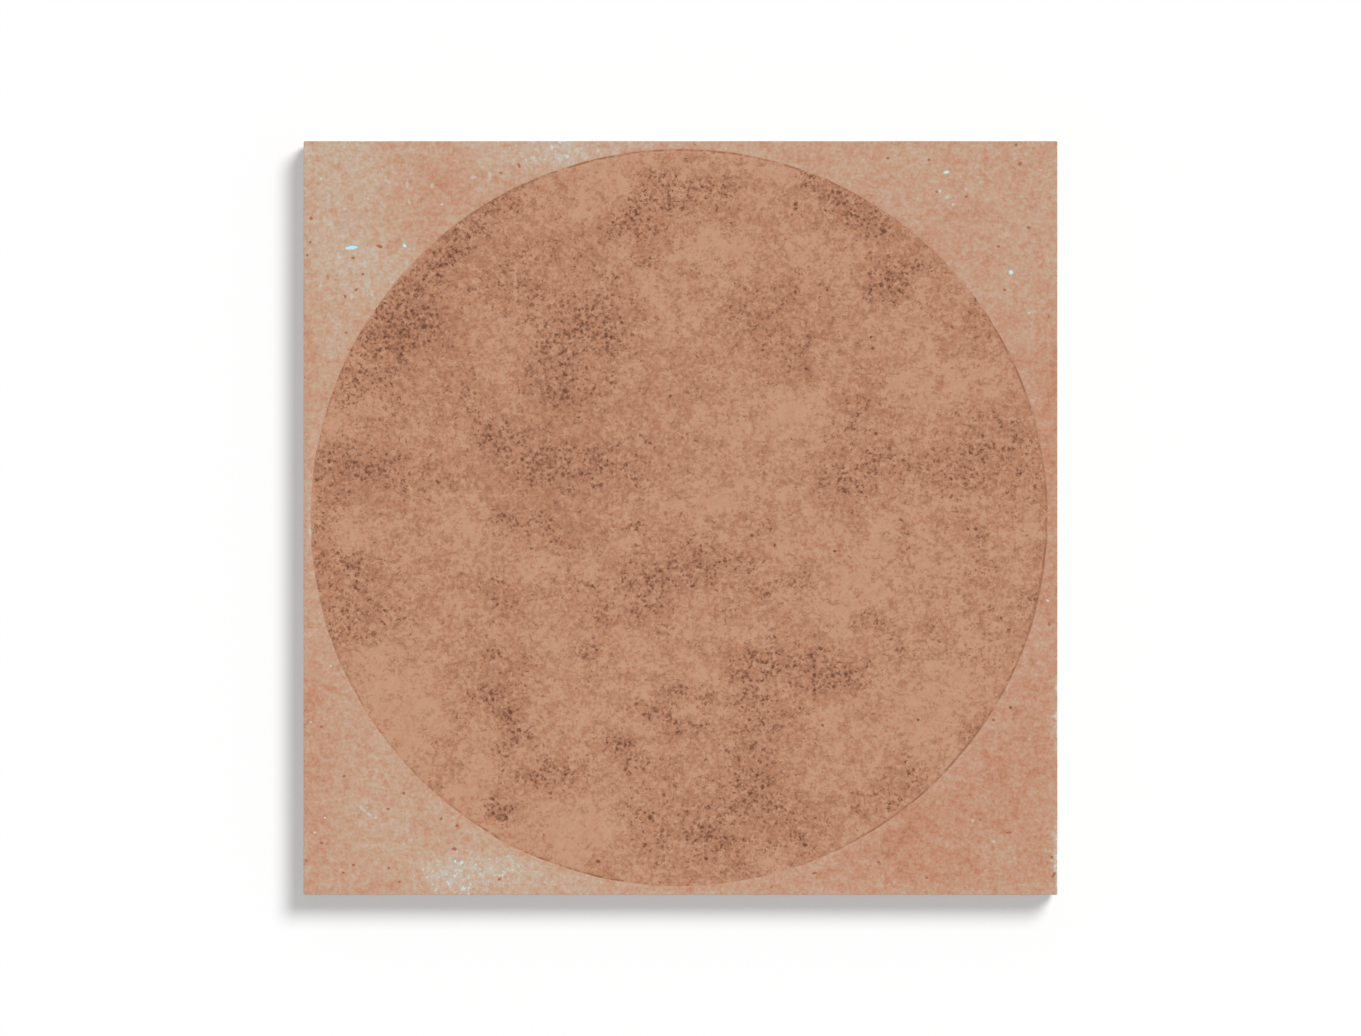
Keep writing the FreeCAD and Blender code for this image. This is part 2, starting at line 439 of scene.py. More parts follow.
# Where the stain lies on the disc: x, y, half length, half width in mm from the middle, turn in degrees, strength
darkClouds = [
    # upper left edge
    (-47, 84, 8, 4, 40, 0.7), (-58, 76, 8, 5, 45, 0.9), (-63, 69, 6, 4, 45, 0.85), (-71, 60, 8, 5, 45, 0.85),
    (-77, 50, 8, 6, 45, 0.9), (-68, 50, 8, 5, 0, 0.75), (-85, 44, 6, 4, 50, 0.9), (-83, 37, 8, 4, 0, 0.95),
    (-76, 42, 4, 4, 0, 0.8), (-86, 29, 7, 4, 0, 0.55), (-91, 32, 3, 3, 0, 0.6), (-76, 28, 5, 4, 0, 0.45),
    # left
    (-94, 16, 4, 4, 0, 0.8), (-86, 15, 9, 5, 0, 0.75), (-72, 11, 12, 4, 0, 0.55), (-93, 4, 4, 3, 0, 0.85),
    (-96, -3, 2, 4, 0, 0.6), (-93, -11, 4, 3, 0, 0.9), (-86, -12, 4, 3, 0, 0.8), (-87, -18, 7, 4, 0, 0.7),
    (-76, -13, 2, 3, 0, 0.5), (-92, -24, 3, 2, 0, 0.6), (-83, -25, 4, 3, 0, 0.65), (-77, -25, 4, 3, 0, 0.8),
    (-90, -30, 4, 3, 0, 0.9), (-84, -32, 5, 2, 0, 0.8), (-76, -31, 3, 2, 0, 0.5), (-71, -24, 2, 2, 0, 0.4),
    # inner upper left
    (-56, 32, 4, 5, 0, 0.55), (-51, 22, 5, 4, 0, 0.9), (-45, 19, 4, 4, 0, 0.6), (-51, 60, 6, 6, 0, 0.5),
    (-44, 54, 4, 4, 0, 0.5), (-40, 62, 5, 6, 0, 0.5), (-38, 51, 5, 3, 0, 0.55), (-43, 69, 6, 5, 0, 0.35),
    (-32, 69, 8, 6, 0, 0.35), (-26, 50, 9, 6, 0, 0.85), (-18, 48, 4, 6, 0, 0.9), (-30, 58, 8, 4, 0, 0.5),
    (-20, 60, 5, 4, 0, 0.45), (-33, 42, 8, 5, 0, 0.7), (-31, 34, 6, 6, 0, 0.75), (-22, 33, 3, 2, 0, 0.85),
    (-37, 89, 5, 3, 0, 0.4), (-38, 14, 9, 6, 0, 0.8), (-26, 14, 8, 6, 0, 0.55), (-14, 13, 9, 5, 0, 0.5),
    # top
    (-6, 91, 5, 3, 0, 0.8), (-12, 86, 3, 3, 0, 0.55), (-3, 85, 6, 4, 0, 0.8), (-14, 82, 3, 5, 0, 0.95),
    (-9, 79, 6, 5, 0, 0.6), (-17, 76, 4, 3, 0, 0.55), (-10, 69, 5, 3, 0, 0.6), (-15, 68, 2, 4, 0, 0.55),
    (-7, 64, 4, 2, 0, 0.5), (-22, 66, 3, 2, 0, 0.45), (-12, 57, 4, 5, 0, 0.4), (4, 96, 3, 1, 15, 0.7),
    (2, 88, 5, 3, -20, 0.7), (12, 88, 6, 2, 0, 0.75), (11, 84, 4, 4, 0, 0.5), (19, 82, 2, 2, 0, 0.35),
    (2, 76, 3, 2, 0, 0.5), (13, 77, 1, 2, 0, 0.7), (18, 75, 4, 1, 5, 0.5), (31, 82, 2, 2, 0, 0.7),
    # upper right edge
    (33, 90, 4, 3, -35, 0.95), (43, 85, 7, 3, -35, 0.95), (45, 79, 6, 3, -30, 0.8), (53, 78, 4, 3, -30, 0.7),
    (53, 74, 3, 2, -20, 0.6), (44, 72, 2, 2, 0, 0.45), (50, 68, 3, 3, 0, 0.55), (56, 65, 5, 3, 0, 1.0),
    (55, 60, 5, 4, 0, 0.95), (64, 66, 4, 2, 0, 0.65), (62, 60, 3, 4, 0, 0.5), (78, 54, 3, 3, -50, 0.5),
    # inner upper right
    (4, 65, 3, 2, 0, 0.65), (10, 67, 3, 2, 20, 0.5), (18, 58, 6, 4, 0, 0.45), (28, 60, 8, 3, 0, 0.55),
    (38, 61, 3, 3, 0, 0.4), (17, 52, 6, 4, 0, 0.5), (23, 48, 3, 4, 0, 0.5), (24, 40, 3, 4, 0, 0.55),
    (32, 44, 4, 6, 0, 0.6), (7, 43, 2, 2, 0, 0.4), (4, 34, 3, 2, 0, 0.45), (51, 37, 3, 4, 0, 0.6),
    (47, 29, 4, 2, 0, 0.65), (58, 29, 4, 2, 0, 0.65), (64, 33, 3, 2, 30, 0.5), (45, 24, 4, 2, -10, 0.8),
    (42, 18, 4, 3, 0, 0.8), (51, 17, 4, 2, 20, 0.9), (49, 13, 3, 2, 0, 0.8), (41, 12, 4, 3, 0, 0.6),
    (45, 8, 6, 3, 0, 0.85), (62, 14, 6, 4, 0, 0.5), (78, 18, 9, 7, 0, 0.6), (73, 9, 7, 6, 0, 0.6),
    (83, 27, 8, 3, 0, 0.4), (92, 24, 3, 6, 0, 0.45), (91, 11, 5, 8, 0, 0.6), (70, 40, 5, 2, 0, 0.3),
    (77, 44, 2, 3, 0, 0.35), (22, 16, 2, 2, 0, 0.5), (3, 16, 3, 3, 0, 0.4), (7, 10, 2, 1, 0, 0.5),
    (32, 21, 4, 1, 0, 0.45),
    # lower left
    (-46, -1, 6, 3, 0, 0.85), (-36, -1, 5, 3, 0, 0.6), (-32, -7, 5, 2, -15, 0.75), (-49, -17, 6, 2, -20, 0.6),
    (-39, -19, 3, 2, 0, 0.6), (-47, -23, 3, 3, 0, 0.75), (-31, -17, 3, 3, 0, 0.5), (-34, -22, 4, 2, 0, 0.4),
    (-39, -28, 3, 3, 0, 0.4), (-24, -19, 4, 2, -10, 0.75), (-22, -26, 4, 3, 0, 0.9), (-14, -16, 3, 3, 0, 0.75),
    (-8, -15, 5, 5, 0, 0.85), (-8, -23, 4, 4, 0, 0.8), (-1, -12, 4, 5, 0, 0.5), (-11, -3, 3, 2, 0, 0.75),
    (-4, -31, 4, 1, 0, 0.7), (-23, -36, 4, 2, -25, 0.85), (-50, -37, 4, 2, 0, 0.75), (-42, -38, 4, 2, 0, 0.75),
    (-55, -31, 4, 2, 0, 0.4), (-59, -43, 3, 3, 0, 0.45), (-43, -44, 3, 2, 0, 0.6), (-53, -48, 3, 2, 0, 0.85),
    (-47, -48, 4, 4, 0, 0.7), (-60, -52, 4, 3, 0, 0.35), (-45, -55, 3, 4, 0, 0.95), (-41, -58, 4, 2, -40, 0.9),
    (-62, -61, 4, 4, 0, 0.45), (-50, -61, 2, 1, 0, 0.75), (-47, -62, 2, 3, 0, 0.75), (-52, -67, 1, 2, 0, 0.9),
    (-44, -68, 4, 2, 0, 0.8), (-37, -67, 3, 4, 0, 1.0), (-31, -67, 4, 3, 0, 1.0), (-32, -72, 5, 2, 0, 0.6),
    (-25, -65, 1, 3, 0, 0.7), (-62, -71, 1, 1, 0, 0.9), (-51, -75, 2, 1, 0, 0.8), (-48, -78, 3, 3, 0, 1.0),
    # bottom left of the middle
    (-16, -61, 5, 3, -35, 0.95), (-12, -65, 3, 2, 0, 0.9), (-9, -51, 5, 2, -10, 0.75), (-2, -47, 2, 4, 0, 0.9),
    (-3, -54, 2, 4, 0, 0.8), (-5, -67, 4, 3, 0, 0.6), (-12, -72, 2, 1, 0, 0.9), (-4, -73, 3, 2, 0, 0.7),
    (-13, -77, 3, 3, 0, 0.65), (-7, -79, 4, 3, 0, 0.8), (-12, -83, 2, 3, 0, 0.8), (-3, -85, 3, 3, 0, 0.65),
    (-8, -87, 4, 3, 0, 0.4), (-41, -85, 2, 1, 0, 0.4),
    # lower right
    (6, -10, 6, 4, 0, 0.6), (12, -12, 4, 3, 0, 0.65), (2, -17, 4, 3, 0, 0.65), (16, -11, 3, 2, 0, 0.65),
    (22, -2, 3, 2, 0, 0.5), (17, -16, 4, 2, 0, 0.4), (28, -17, 4, 3, 0, 0.5), (32, -15, 3, 2, 0, 0.6),
    (22, -20, 3, 1, -20, 0.75), (15, -24, 6, 1, 8, 0.55), (47, -27, 3, 1, 0, 0.8), (53, -27, 3, 2, 0, 0.5),
    (57, -32, 2, 3, 15, 0.85), (68, -29, 4, 2, 10, 0.55), (64, -34, 2, 3, 0, 0.45), (78, -15, 6, 4, 0, 0.5),
    (82, -27, 5, 3, 0, 0.45), (93, -22, 3, 2, 0, 0.65), (90, -28, 2, 2, 0, 0.65), (78, -3, 5, 2, 0, 0.65),
    (60, -3, 1, 5, 0, 0.55), (52, -12, 2, 2, 0, 0.45), (23, -31, 2, 1, 0, 0.85), (37, -29, 3, 1, 20, 0.65),
    # right hand bar
    (16, -38, 4, 3, 0, 0.8), (26, -38, 6, 4, 0, 0.95), (20, -42, 6, 3, 0, 0.75), (34, -37, 4, 3, 0, 0.9),
    (38, -42, 5, 3, 0, 0.9), (44, -42, 5, 3, 0, 1.0), (51, -39, 1, 2, 0, 0.75), (41, -35, 4, 1, -15, 0.55),
    (7, -48, 2, 3, 0, 0.95), (3, -56, 4, 1, 0, 0.85), (18, -49, 5, 4, 0, 0.8), (22, -53, 4, 3, 0, 0.7),
    (29, -48, 4, 3, 0, 0.55), (28, -54, 5, 2, 0, 0.45), (18, -57, 5, 4, 0, 0.6), (5, -60, 5, 3, 0, 0.5),
    # bottom
    (15, -63, 4, 3, 0, 0.5), (21, -64, 3, 2, 0, 0.65), (16, -68, 5, 1, -5, 0.9), (22, -69, 3, 1, 0, 0.95),
    (7, -70, 3, 1, -5, 0.85), (16, -73, 5, 3, 0, 0.9), (23, -74, 3, 3, 0, 0.7), (12, -77, 4, 3, 0, 0.75),
    (20, -78, 4, 3, 0, 0.65), (27, -77, 3, 3, 0, 0.65), (3, -77, 2, 1, 0, 0.75), (8, -80, 5, 2, 0, 0.8),
    (5, -83, 3, 2, 0, 0.9), (10, -85, 6, 1, 0, 1.0), (28, -82, 2, 1, -40, 1.0), (30, -85, 3, 1, 15, 1.0),
    (33, -87, 2, 1, 0, 0.95), (22, -87, 2, 2, -20, 0.9), (14, -88, 3, 3, 0, 0.65), (6, -88, 3, 1, 0, 0.65),
    (37, -81, 4, 2, 0, 0.5), (19, -92, 6, 2, 0, 0.5), (5, -91, 5, 2, 0, 0.4),
    (60, -67, 5, 3, 0, 0.6), (47, -75, 3, 1, -30, 0.85), (53, -73, 4, 2, 20, 0.7), (58, -72, 3, 3, 0, 0.5),
    (56, -76, 1, 1, 0, 0.85), (63, -72, 1, 1, 0, 0.85), (38, -61, 4, 3, 0, 0.35), (76, -57, 2, 3, -45, 0.6),
    (77, -47, 3, 1, 0, 0.4), (81, -37, 3, 4, 40, 0.4),
]

# Broad fields under the flecks: above 0 is browner, below 0 paler
broadFields = [
    (-73, 52, 12, 7, 45, 0.9), (-65, 61, 12, 5, 48, 0.6), (-60, 71, 10, 4, 45, 0.6), (-62, 43, 14, 7, -20, 0.45),
    (-86, 13, 11, 6, 0, 1.0), (-72, 12, 14, 6, 0, 0.6), (-50, 22, 5, 5, 0, 0.7), (-36, 13, 12, 8, 0, 1.0),
    (-20, 13, 12, 6, 0, 0.7), (-6, 11, 9, 6, 0, 0.45), (-22, 50, 12, 7, 20, 0.95), (-34, 38, 8, 8, 0, 0.9),
    (-34, 27, 8, 6, 0, 0.5), (-30, 73, 14, 8, 0, 0.35), (-42, 63, 8, 6, 0, 0.4), (-44, -1, 12, 5, -10, 0.6),
    (-33, -6, 6, 4, 0, 0.4), (-7, -16, 7, 6, 0, 0.9), (-15, -22, 8, 6, 0, 0.4), (13, -12, 12, 5, 0, 0.5),
    (-48, -45, 6, 8, -20, 0.8), (-43, -55, 4, 5, -30, 0.8), (-32, -68, 9, 4, 0, 0.6), (-14, -62, 5, 4, -40, 0.6),
    (0, -51, 4, 6, 0, 0.45), (22, -38, 10, 4, 0, 0.7), (42, -42, 8, 5, -15, 0.95), (22, -52, 12, 9, 0, 0.5),
    (20, -68, 8, 10, 0, 0.7), (9, -84, 7, 5, 0, 0.7), (29, -80, 10, 6, -30, 0.8), (10, -92, 15, 4, 0, 0.4),
    (-6, -82, 8, 8, 0, 0.35), (60, -70, 12, 6, 20, 0.4), (80, -55, 5, 3, 45, 0.5), (50, 81, 12, 4, -33, 0.9),
    (56, 63, 5, 5, 0, 0.95), (26, 52, 14, 9, 0, 0.6), (31, 41, 8, 6, 0, 0.45), (48, 15, 7, 7, 0, 0.6),
    (50, 30, 5, 6, 0, 0.35), (80, 17, 14, 9, 0, 0.65), (88, 7, 6, 8, 0, 0.45), (-90, -20, 6, 12, -15, 0.65),
    (-84, -18, 8, 6, 0, 0.5), (0, 85, 12, 8, 0, 0.5), (-11, 80, 8, 8, 0, 0.55), (78, 49, 5, 10, 35, 0.35),
    (-61, -15, 12, 10, 0, 0.15), (-58, -68, 3, 3, 0, 0.7), (-48, -72, 2, 3, 0, 0.5), (-22, -93, 3, 2, 0, 0.5),
    (-22, 90, 12, 4, 10, -0.6), (-33, 84, 8, 3, 0, -0.5), (-48, 44, 7, 8, 0, -0.6), (-17, 69, 7, 4, 30, -0.6),
    (-10, 62, 6, 4, 0, -0.4), (10, 70, 13, 6, 15, -0.4), (-2, 54, 9, 6, 0, -0.45), (30, 27, 12, 7, 15, -0.8),
    (12, 19, 8, 8, 0, -0.35), (6, 3, 16, 5, 5, -0.55), (40, -4, 8, 5, 0, -0.4), (42, -20, 4, 12, 5, -0.65),
    (61, -12, 12, 9, 0, -0.4), (62, 36, 12, 8, 0, -0.3), (37, 68, 8, 5, 0, -0.4), (-88, -4, 5, 5, 0, -0.7),
    (-57, 0, 9, 4, -20, -0.6), (-42, -13, 10, 4, 0, -0.5), (-35, -28, 7, 6, 0, -0.35), (-75, -44, 14, 8, -40, -0.7),
    (-69, -56, 8, 6, -45, -0.6), (-12, -37, 10, 5, 0, -0.4), (-28, -49, 8, 8, 0, -0.4), (-54, -64, 8, 5, 0, -0.4),
    (-27, -82, 10, 7, 10, -0.85), (41, -59, 7, 9, 0, -0.5), (65, -51, 14, 9, 15, -0.55), (-22, 29, 3, 4, 0, -0.7),
    (-16, 28, 2, 2, 0, -0.8), (-4, 27, 3, 3, 0, -0.9), (-60, 20, 6, 4, 0, -0.3), (-83, 42, 4, 2, 0, -0.5),
    (-88, 24, 5, 3, 0, -0.4), (90, 34, 6, 5, 0, -0.25),
]

# Off the disc: pale limy bloom, and redder clay
paleClouds = [
    (-32, 97, 10, 4, 0, 1.0), (-27, 95, 6, 3, 0, 0.8), (-38, 92, 5, 3, 25, 0.7), (-45, 97, 5, 3, 0, 0.5), (-81, 85, 4, 6, 0, 0.5),
    (-78, 91, 6, 3, 40, 0.5), (-88, 97, 6, 3, 0, 0.5), (-76, 70, 10, 8, 50, 0.3), (-85, 62, 9, 8, 0, 0.35),
    (-92, 46, 5, 5, 0, 0.5), (-87, 54, 6, 5, 0, 0.35), (-52, 91, 4, 2, 0, 0.6), (-60, -97, 9, 3, 0, 1.3),
    (-50, -91, 8, 5, -20, 0.75), (-66, -96, 4, 3, 0, 0.9), (-56, -93, 12, 4, 0, 0.6), (-72, -87, 7, 5, -30, 0.45), (-84, -77, 5, 2, -25, 0.7),
    (-40, -95, 8, 4, -15, 0.45), (-28, -98, 8, 2, 0, 0.5), (-88, -60, 6, 8, 0, 0.3), (-78, -68, 6, 6, -45, 0.4),
    (-60, -84, 10, 4, -35, 0.4), (-98, -3, 1, 3, 0, 0.8), (-97, -22, 2, 8, 0, 0.6), (-98, 8, 1, 8, 0, 0.5),
    (70, 86, 3, 4, 0, 0.5), (66, 92, 8, 5, 0, 0.25), (86, 93, 8, 6, 0, 0.2), (93, 60, 4, 10, 0, 0.2),
    (99, -46, 1, 2, 0, 0.9), (99, -54, 1, 4, 0, 1.0), (99, -92, 1, 9, 0, 1.0), (75, -78, 8, 4, 0, 0.35),
    (60, -98, 16, 2, 0, 0.45), (30, -97, 10, 2, 0, 0.4), (92, -72, 6, 10, 0, 0.15),
]
redClouds = [
    (-97, -48, 4, 4, 0, 0.9), (-98, -71, 3, 5, 0, 0.7), (-98, 41, 2, 4, 0, 0.7), (-98, 52, 3, 8, 0, 0.4),
    (-62, 95, 8, 6, 0, 0.45), (-57, 86, 8, 5, 30, 0.35), (-67, 78, 8, 5, 45, 0.25), (-84, 80, 3, 3, 0, 0.3),
    (-66, 73, 2, 1, 20, 0.8), (75, 80, 4, 3, 0, 0.7), (76, 70, 8, 6, 0, 0.35), (88, 88, 8, 5, 0, 0.3),
    (99, 26, 3, 14, 0, 0.8), (97, 40, 4, 8, 0, 0.5), (98, 5, 2, 10, 0, 0.5), (97, 55, 3, 6, 0, 0.3),
    (60, -90, 14, 8, 0, 1.0), (70, -80, 12, 8, 30, 0.8), (50, -92, 12, 5, 10, 0.7), (83, -67, 10, 6, 0, 0.8),
    (85, -50, 6, 6, 0, 0.55), (93, -40, 5, 10, 0, 0.5), (84, -65, 4, 4, 0, 0.8), (97, -20, 2, 10, 0, 0.5),
    (75, -92, 14, 6, 0, 0.6), (90, -85, 8, 8, 0, 0.45), (96, -60, 4, 8, 0, 0.4), (80, -97, 14, 3, 0, 0.3),
    (36, -95, 10, 3, 10, 0.5), (-92, 60, 4, 8, 0, 0.2), (-95, -88, 5, 8, 0, 0.4),
]


# Where the fired face as a whole is lighter or darker, in steps of lightness
toneDabs = [
    # off the disc
    (-92, 88, 14, 20, 0, 11), (-86, 64, 11, 11, 0, 9), (-94, 45, 5, 10, 0, 3), (-97, 0, 3, 14, 0, 4),
    (-40, 98, 34, 5, 0, 10), (-62, 92, 6, 8, 0, -3), (20, 99, 14, 2, 0, 2), (66, 90, 12, 10, 0, -1),
    (94, 80, 10, 20, 0, 1), (98, 40, 3, 16, 0, -7), (98, 10, 3, 16, 0, -8), (98, -22, 3, 14, 0, -7),
    (94, -50, 8, 14, 0, -7), (88, -70, 12, 14, 40, -6), (70, -86, 18, 10, 30, -7), (95, -92, 8, 10, 0, -4),
    (50, -96, 16, 4, 0, -4), (20, -99, 16, 2, 0, -2), (-45, -94, 16, 7, -15, 7), (-62, -94, 8, 6, 0, 6),
    (-98, -60, 5, 22, 0, -5), (-84, -74, 12, 12, 0, 1), (-88, -92, 12, 6, 0, 1),
    (61, -80, 12, 3, 42, -8), (49, -88, 5, 3, 20, -4), (70, 51, 3, 5, 0, -3), (85, 51, 4, 5, 0, -4),
    (91, 33, 4, 3, 0, -3), (86, 1, 3, 2, 0, -3), (95, -51, 3, 5, 0, -3), (95, 2, 3, 7, 0, 4), (68, 74, 8, 6, 0, -2),
    (89, 44, 3, 8, 20, -4),
    # upper left of the disc
    (-66, 49, 9, 6, 0, -6), (-76, 47, 5, 6, 0, -6), (-84, 37, 4, 3, 0, -7), (-62, 31, 5, 6, 0, -5),
    (-52, 15, 4, 8, 0, -6), (-92, 12, 4, 5, 0, -5), (-83, 5, 9, 3, 0, -4), (-70, 11, 4, 6, 0, 4),
    (-25, 28, 20, 11, 0, -4), (-40, 37, 3, 3, 0, -5), (-28, 33, 3, 4, 0, -6), (-40, 25, 3, 2, 0, -6),
    (-12, 30, 5, 2, 0, -6), (-5, 25, 3, 2, 0, -5), (-33, 4, 7, 4, 0, -6), (-24, -4, 6, 3, 0, -5),
    (-18, 46, 3, 3, 0, -7), (-8, 43, 3, 3, 0, -5), (0, 42, 3, 2, 0, -4), (-26, 73, 4, 3, 0, -5),
    (-47, 68, 4, 4, 0, -4), (-36, 72, 4, 2, 0, -5), (-9, 72, 4, 3, 0, -7), (-46, 84, 4, 3, 40, -4),
    (-14, 88, 5, 2, 0, 7), (1, 89, 4, 3, 0, 7), (-14, 66, 3, 6, -35, 5), (-8, 62, 2, 3, 0, 4),
    (5, 75, 5, 6, 0, 4), (25, 92, 10, 2, -12, 6), (12, 80, 4, 2, 0, -6),
    # upper right of the disc
    (33, 38, 4, 3, 20, -7), (41, 5, 8, 3, -45, -7), (62, 69, 4, 3, 0, -7), (62, 60, 4, 5, 0, 7),
    (52, 36, 4, 3, 0, -4), (45, 32, 3, 3, 0, -4), (22, 52, 3, 3, 0, -4), (39, 52, 3, 5, 0, -3),
    (11, 35, 3, 4, 0, -4), (30, 27, 4, 5, 0, 5), (25, 14, 6, 3, 40, 4), (44, 13, 3, 2, 0, 4),
    (92, 12, 5, 5, 0, 3), (65, 30, 4, 4, 0, 4), (8, 6, 6, 5, 0, 2), (83, 28, 5, 3, 0, -3),
    # lower left of the disc
    (-90, -8, 4, 4, 30, 6), (-87, -15, 3, 2, 0, 6), (-54, -3, 5, 4, -30, 6), (-40, -16, 5, 2, -20, 5),
    (-75, -55, 16, 4, -50, 5), (-62, -48, 5, 4, 0, 3), (-29, -85, 8, 6, 0, 5), (-45, -64, 8, 2, 0, 4),
    (-52, -70, 3, 4, 0, 4), (-46, -22, 3, 4, 0, -6), (-22, -25, 3, 2, 0, -7), (-11, -25, 3, 2, 0, -6),
    (-5, -24, 3, 2, 0, -5), (-45, -51, 3, 4, -30, -8), (-48, -78, 3, 2, 0, -6), (-9, -50, 4, 2, 0, -3),
    (-6, -64, 4, 3, 0, 4), (-20, -15, 3, 2, 0, -4),
    # lower right of the disc
    (5, -12, 4, 3, 0, -6), (21, -7, 4, 3, 0, -5), (34, -38, 2, 6, 0, -8), (12, -85, 4, 3, 0, -5),
    (26, -84, 4, 3, 0, -4), (36, -77, 5, 2, 20, -4), (43, -30, 3, 8, 15, 5), (53, -6, 4, 5, 0, 4),
    (75, -45, 13, 8, 50, 4), (65, -65, 3, 3, 0, 4), (17, -31, 3, 4, 0, 4), (10, -51, 3, 4, 0, 5),
    (69, -4, 3, 3, 0, -4), (79, -5, 3, 3, 0, -4), (48, -18, 6, 5, 0, 2),
    # streaks in the upper right and lower left of the disc
    (66, 38, 9, 0, 22, 9), (73, 34, 8, 0, 25, 9), (80, 38, 7, 0, 15, 8), (62, 31, 5, 0, 30, 8),
    (84, 34, 6, 0, 20, 7), (58, 37, 5, 0, 35, 8), (77, 41, 5, 0, 20, 6), (26, 66, 7, 0, 25, 4), (33, 70, 7, 0, 25, 4), (20, 63, 5, 0, 30, 4),
    # a second round, from the map of what still differed
    (-73, 60, 6, 3, 20, -5), (-23, 73, 3, 5, 0, -4), (-14, 65, 3, 5, -30, -9), (34, 91, 4, 3, 0, -5),
    (35, 71, 4, 5, 0, -3), (-69, 39, 4, 4, 0, -4), (18, 44, 3, 4, 0, -4), (-19, 32, 2, 6, 0, -4),
    (0, 27, 2, 5, 0, -5), (-94, 14, 3, 3, 0, -4), (-80, 8, 3, 4, 0, -4), (-70, 4, 4, 2, 0, -4),
    (-44, 4, 3, 3, 0, -3), (-50, -3, 4, 2, 0, -4), (-4, 12, 3, 4, 0, -4), (-23, 9, 4, 3, 0, -3),
    (-21, 2, 3, 4, 0, -3), (-11, -4, 3, 2, 0, -3), (-13, -13, 5, 3, 0, -4), (-95, -3, 2, 5, 0, -4),
    (13, -30, 3, 4, 0, -3), (32, -32, 4, 3, 0, -3), (41, -33, 3, 4, 0, -4), (43, -45, 3, 2, 0, -4),
    (-50, -42, 7, 3, -45, -4), (-45, -56, 2, 3, 0, -4), (-3, -52, 2, 8, 0, -4), (-12, -65, 4, 3, 0, -4),
    (-4, -66, 3, 2, 0, -4), (6, -73, 5, 2, -20, -4), (27, -56, 2, 3, 0, -3), (35, -65, 3, 3, 0, -4),
    (57, 25, 4, 6, 0, -4), (22, 20, 3, 3, 0, -3), (36, -8, 2, 6, 0, -2), (-7, -40, 5, 2, 0, -3),
    (-83, 42, 4, 3, 0, 9), (-86, 32, 3, 4, 0, 6), (-91, 27, 3, 3, 0, 5), (-89, -26, 3, 3, 0, 6),
    (-14, 71, 3, 2, 0, 4), (-11, 86, 10, 2, 10, 4), (6, 94, 4, 2, 0, 4), (16, 89, 3, 3, 0, 5),
    (13, 70, 4, 3, 0, 4), (29, 88, 3, 3, 0, 3), (56, 57, 3, 2, 0, 6), (56, 34, 3, 2, 0, 5),
    (73, 35, 2, 2, 0, 4), (85, 36, 4, 2, 0, 4), (43, 12, 2, 2, 0, 4), (45, 20, 3, 2, 0, 3),
    (26, -5, 3, 2, 0, 4), (22, -11, 3, 2, 0, 4), (64, -6, 3, 3, 0, 4), (-10, -19, 2, 2, 0, 5),
    (8, -27, 3, 3, 0, 4), (-22, -34, 3, 2, -40, 5), (30, -43, 3, 3, 0, 5), (18, -47, 4, 2, 30, 5),
    (6, -42, 4, 2, 0, 4), (-50, -54, 4, 2, 0, 4), (-56, -72, 4, 4, 0, 6), (-29, -72, 6, 2, 0, 5),
    (-19, -64, 2, 3, 0, 4), (-8, -48, 3, 3, 0, 3), (60, -56, 5, 3, 0, 4), (77, -31, 3, 4, 0, 4),
    (86, -36, 2, 4, 60, 3), (-77, -34, 4, 2, 0, 3), (-46, 50, 3, 3, 0, 4), (-46, 27, 3, 2, 0, 3),
    (-4, 26, 2, 2, 0, 3), (52, -15, 3, 2, 0, 3),
    # a third round, in the same way: darker
    (22, 65, 3, 2, 0, -5), (32, 85, 3, 2, 0, -4), (13, 78, 3, 2, 0, -3), (6, 70, 4, 2, 0, -4),
    (2, 35, 2, 3, 0, -3), (-81, 21, 3, 3, 0, -4), (-62, 13, 6, 2, 0, -4), (-65, 3, 4, 3, 0, -4),
    (-41, 0, 3, 2, 0, -3), (-92, -6, 2, 4, 0, -5), (-88, -31, 4, 2, 0, -5), (-10, -13, 3, 2, 0, -3),
    (-22, -36, 3, 2, 0, -3), (34, -43, 2, 2, 0, -6), (32, -58, 2, 3, 0, -3), (-4, -57, 2, 3, 0, -5),
    (11, -85, 5, 2, 0, -6), (7, -74, 3, 2, 0, -3), (77, 32, 14, 0, 5, -4), (62, 58, 2, 3, 0, -4),
    (57, 62, 3, 2, 0, -3), (42, 82, 2, 3, 0, -3), (23, 19, 2, 3, 0, -4), (26, 10, 2, 3, 0, -4),
    (-50, 32, 7, 3, 0, -3), (-57, 48, 3, 3, 0, -3), (-26, 65, 3, 2, 0, -4), (-24, 73, 2, 3, 0, -3),
    (-4, 42, 2, 4, 0, -3), (-15, 29, 3, 2, 0, -3), (51, -36, 3, 2, 0, -3), (47, -27, 2, 3, 0, -4),
    (60, -5, 2, 3, 0, -3), (-49, -43, 4, 2, -40, -3), (77, -36, 4, 2, 30, -3), (-50, -80, 2, 2, 0, -3),
    (49, 16, 3, 2, 0, -3), (74, 26, 2, 3, 0, -3),
    # and lighter
    (-13, 71, 2, 3, 0, 7), (-96, 8, 2, 3, 0, 8), (47, 72, 2, 3, 0, 4), (26, -6, 3, 3, 0, 5),
    (-12, -7, 3, 3, 0, 4), (36, 36, 3, 2, 0, 5), (27, 43, 2, 3, 0, 3), (36, 45, 2, 3, 0, 3),
    (-86, 32, 2, 2, 0, 4), (67, 4, 3, 2, 0, 4), (77, 6, 3, 2, 0, 3), (90, -6, 3, 3, 0, 4),
    (91, 4, 3, 4, 0, 4), (73, -18, 4, 2, 0, 4), (-9, -22, 2, 2, 0, 4), (-4, -71, 3, 2, 0, 5),
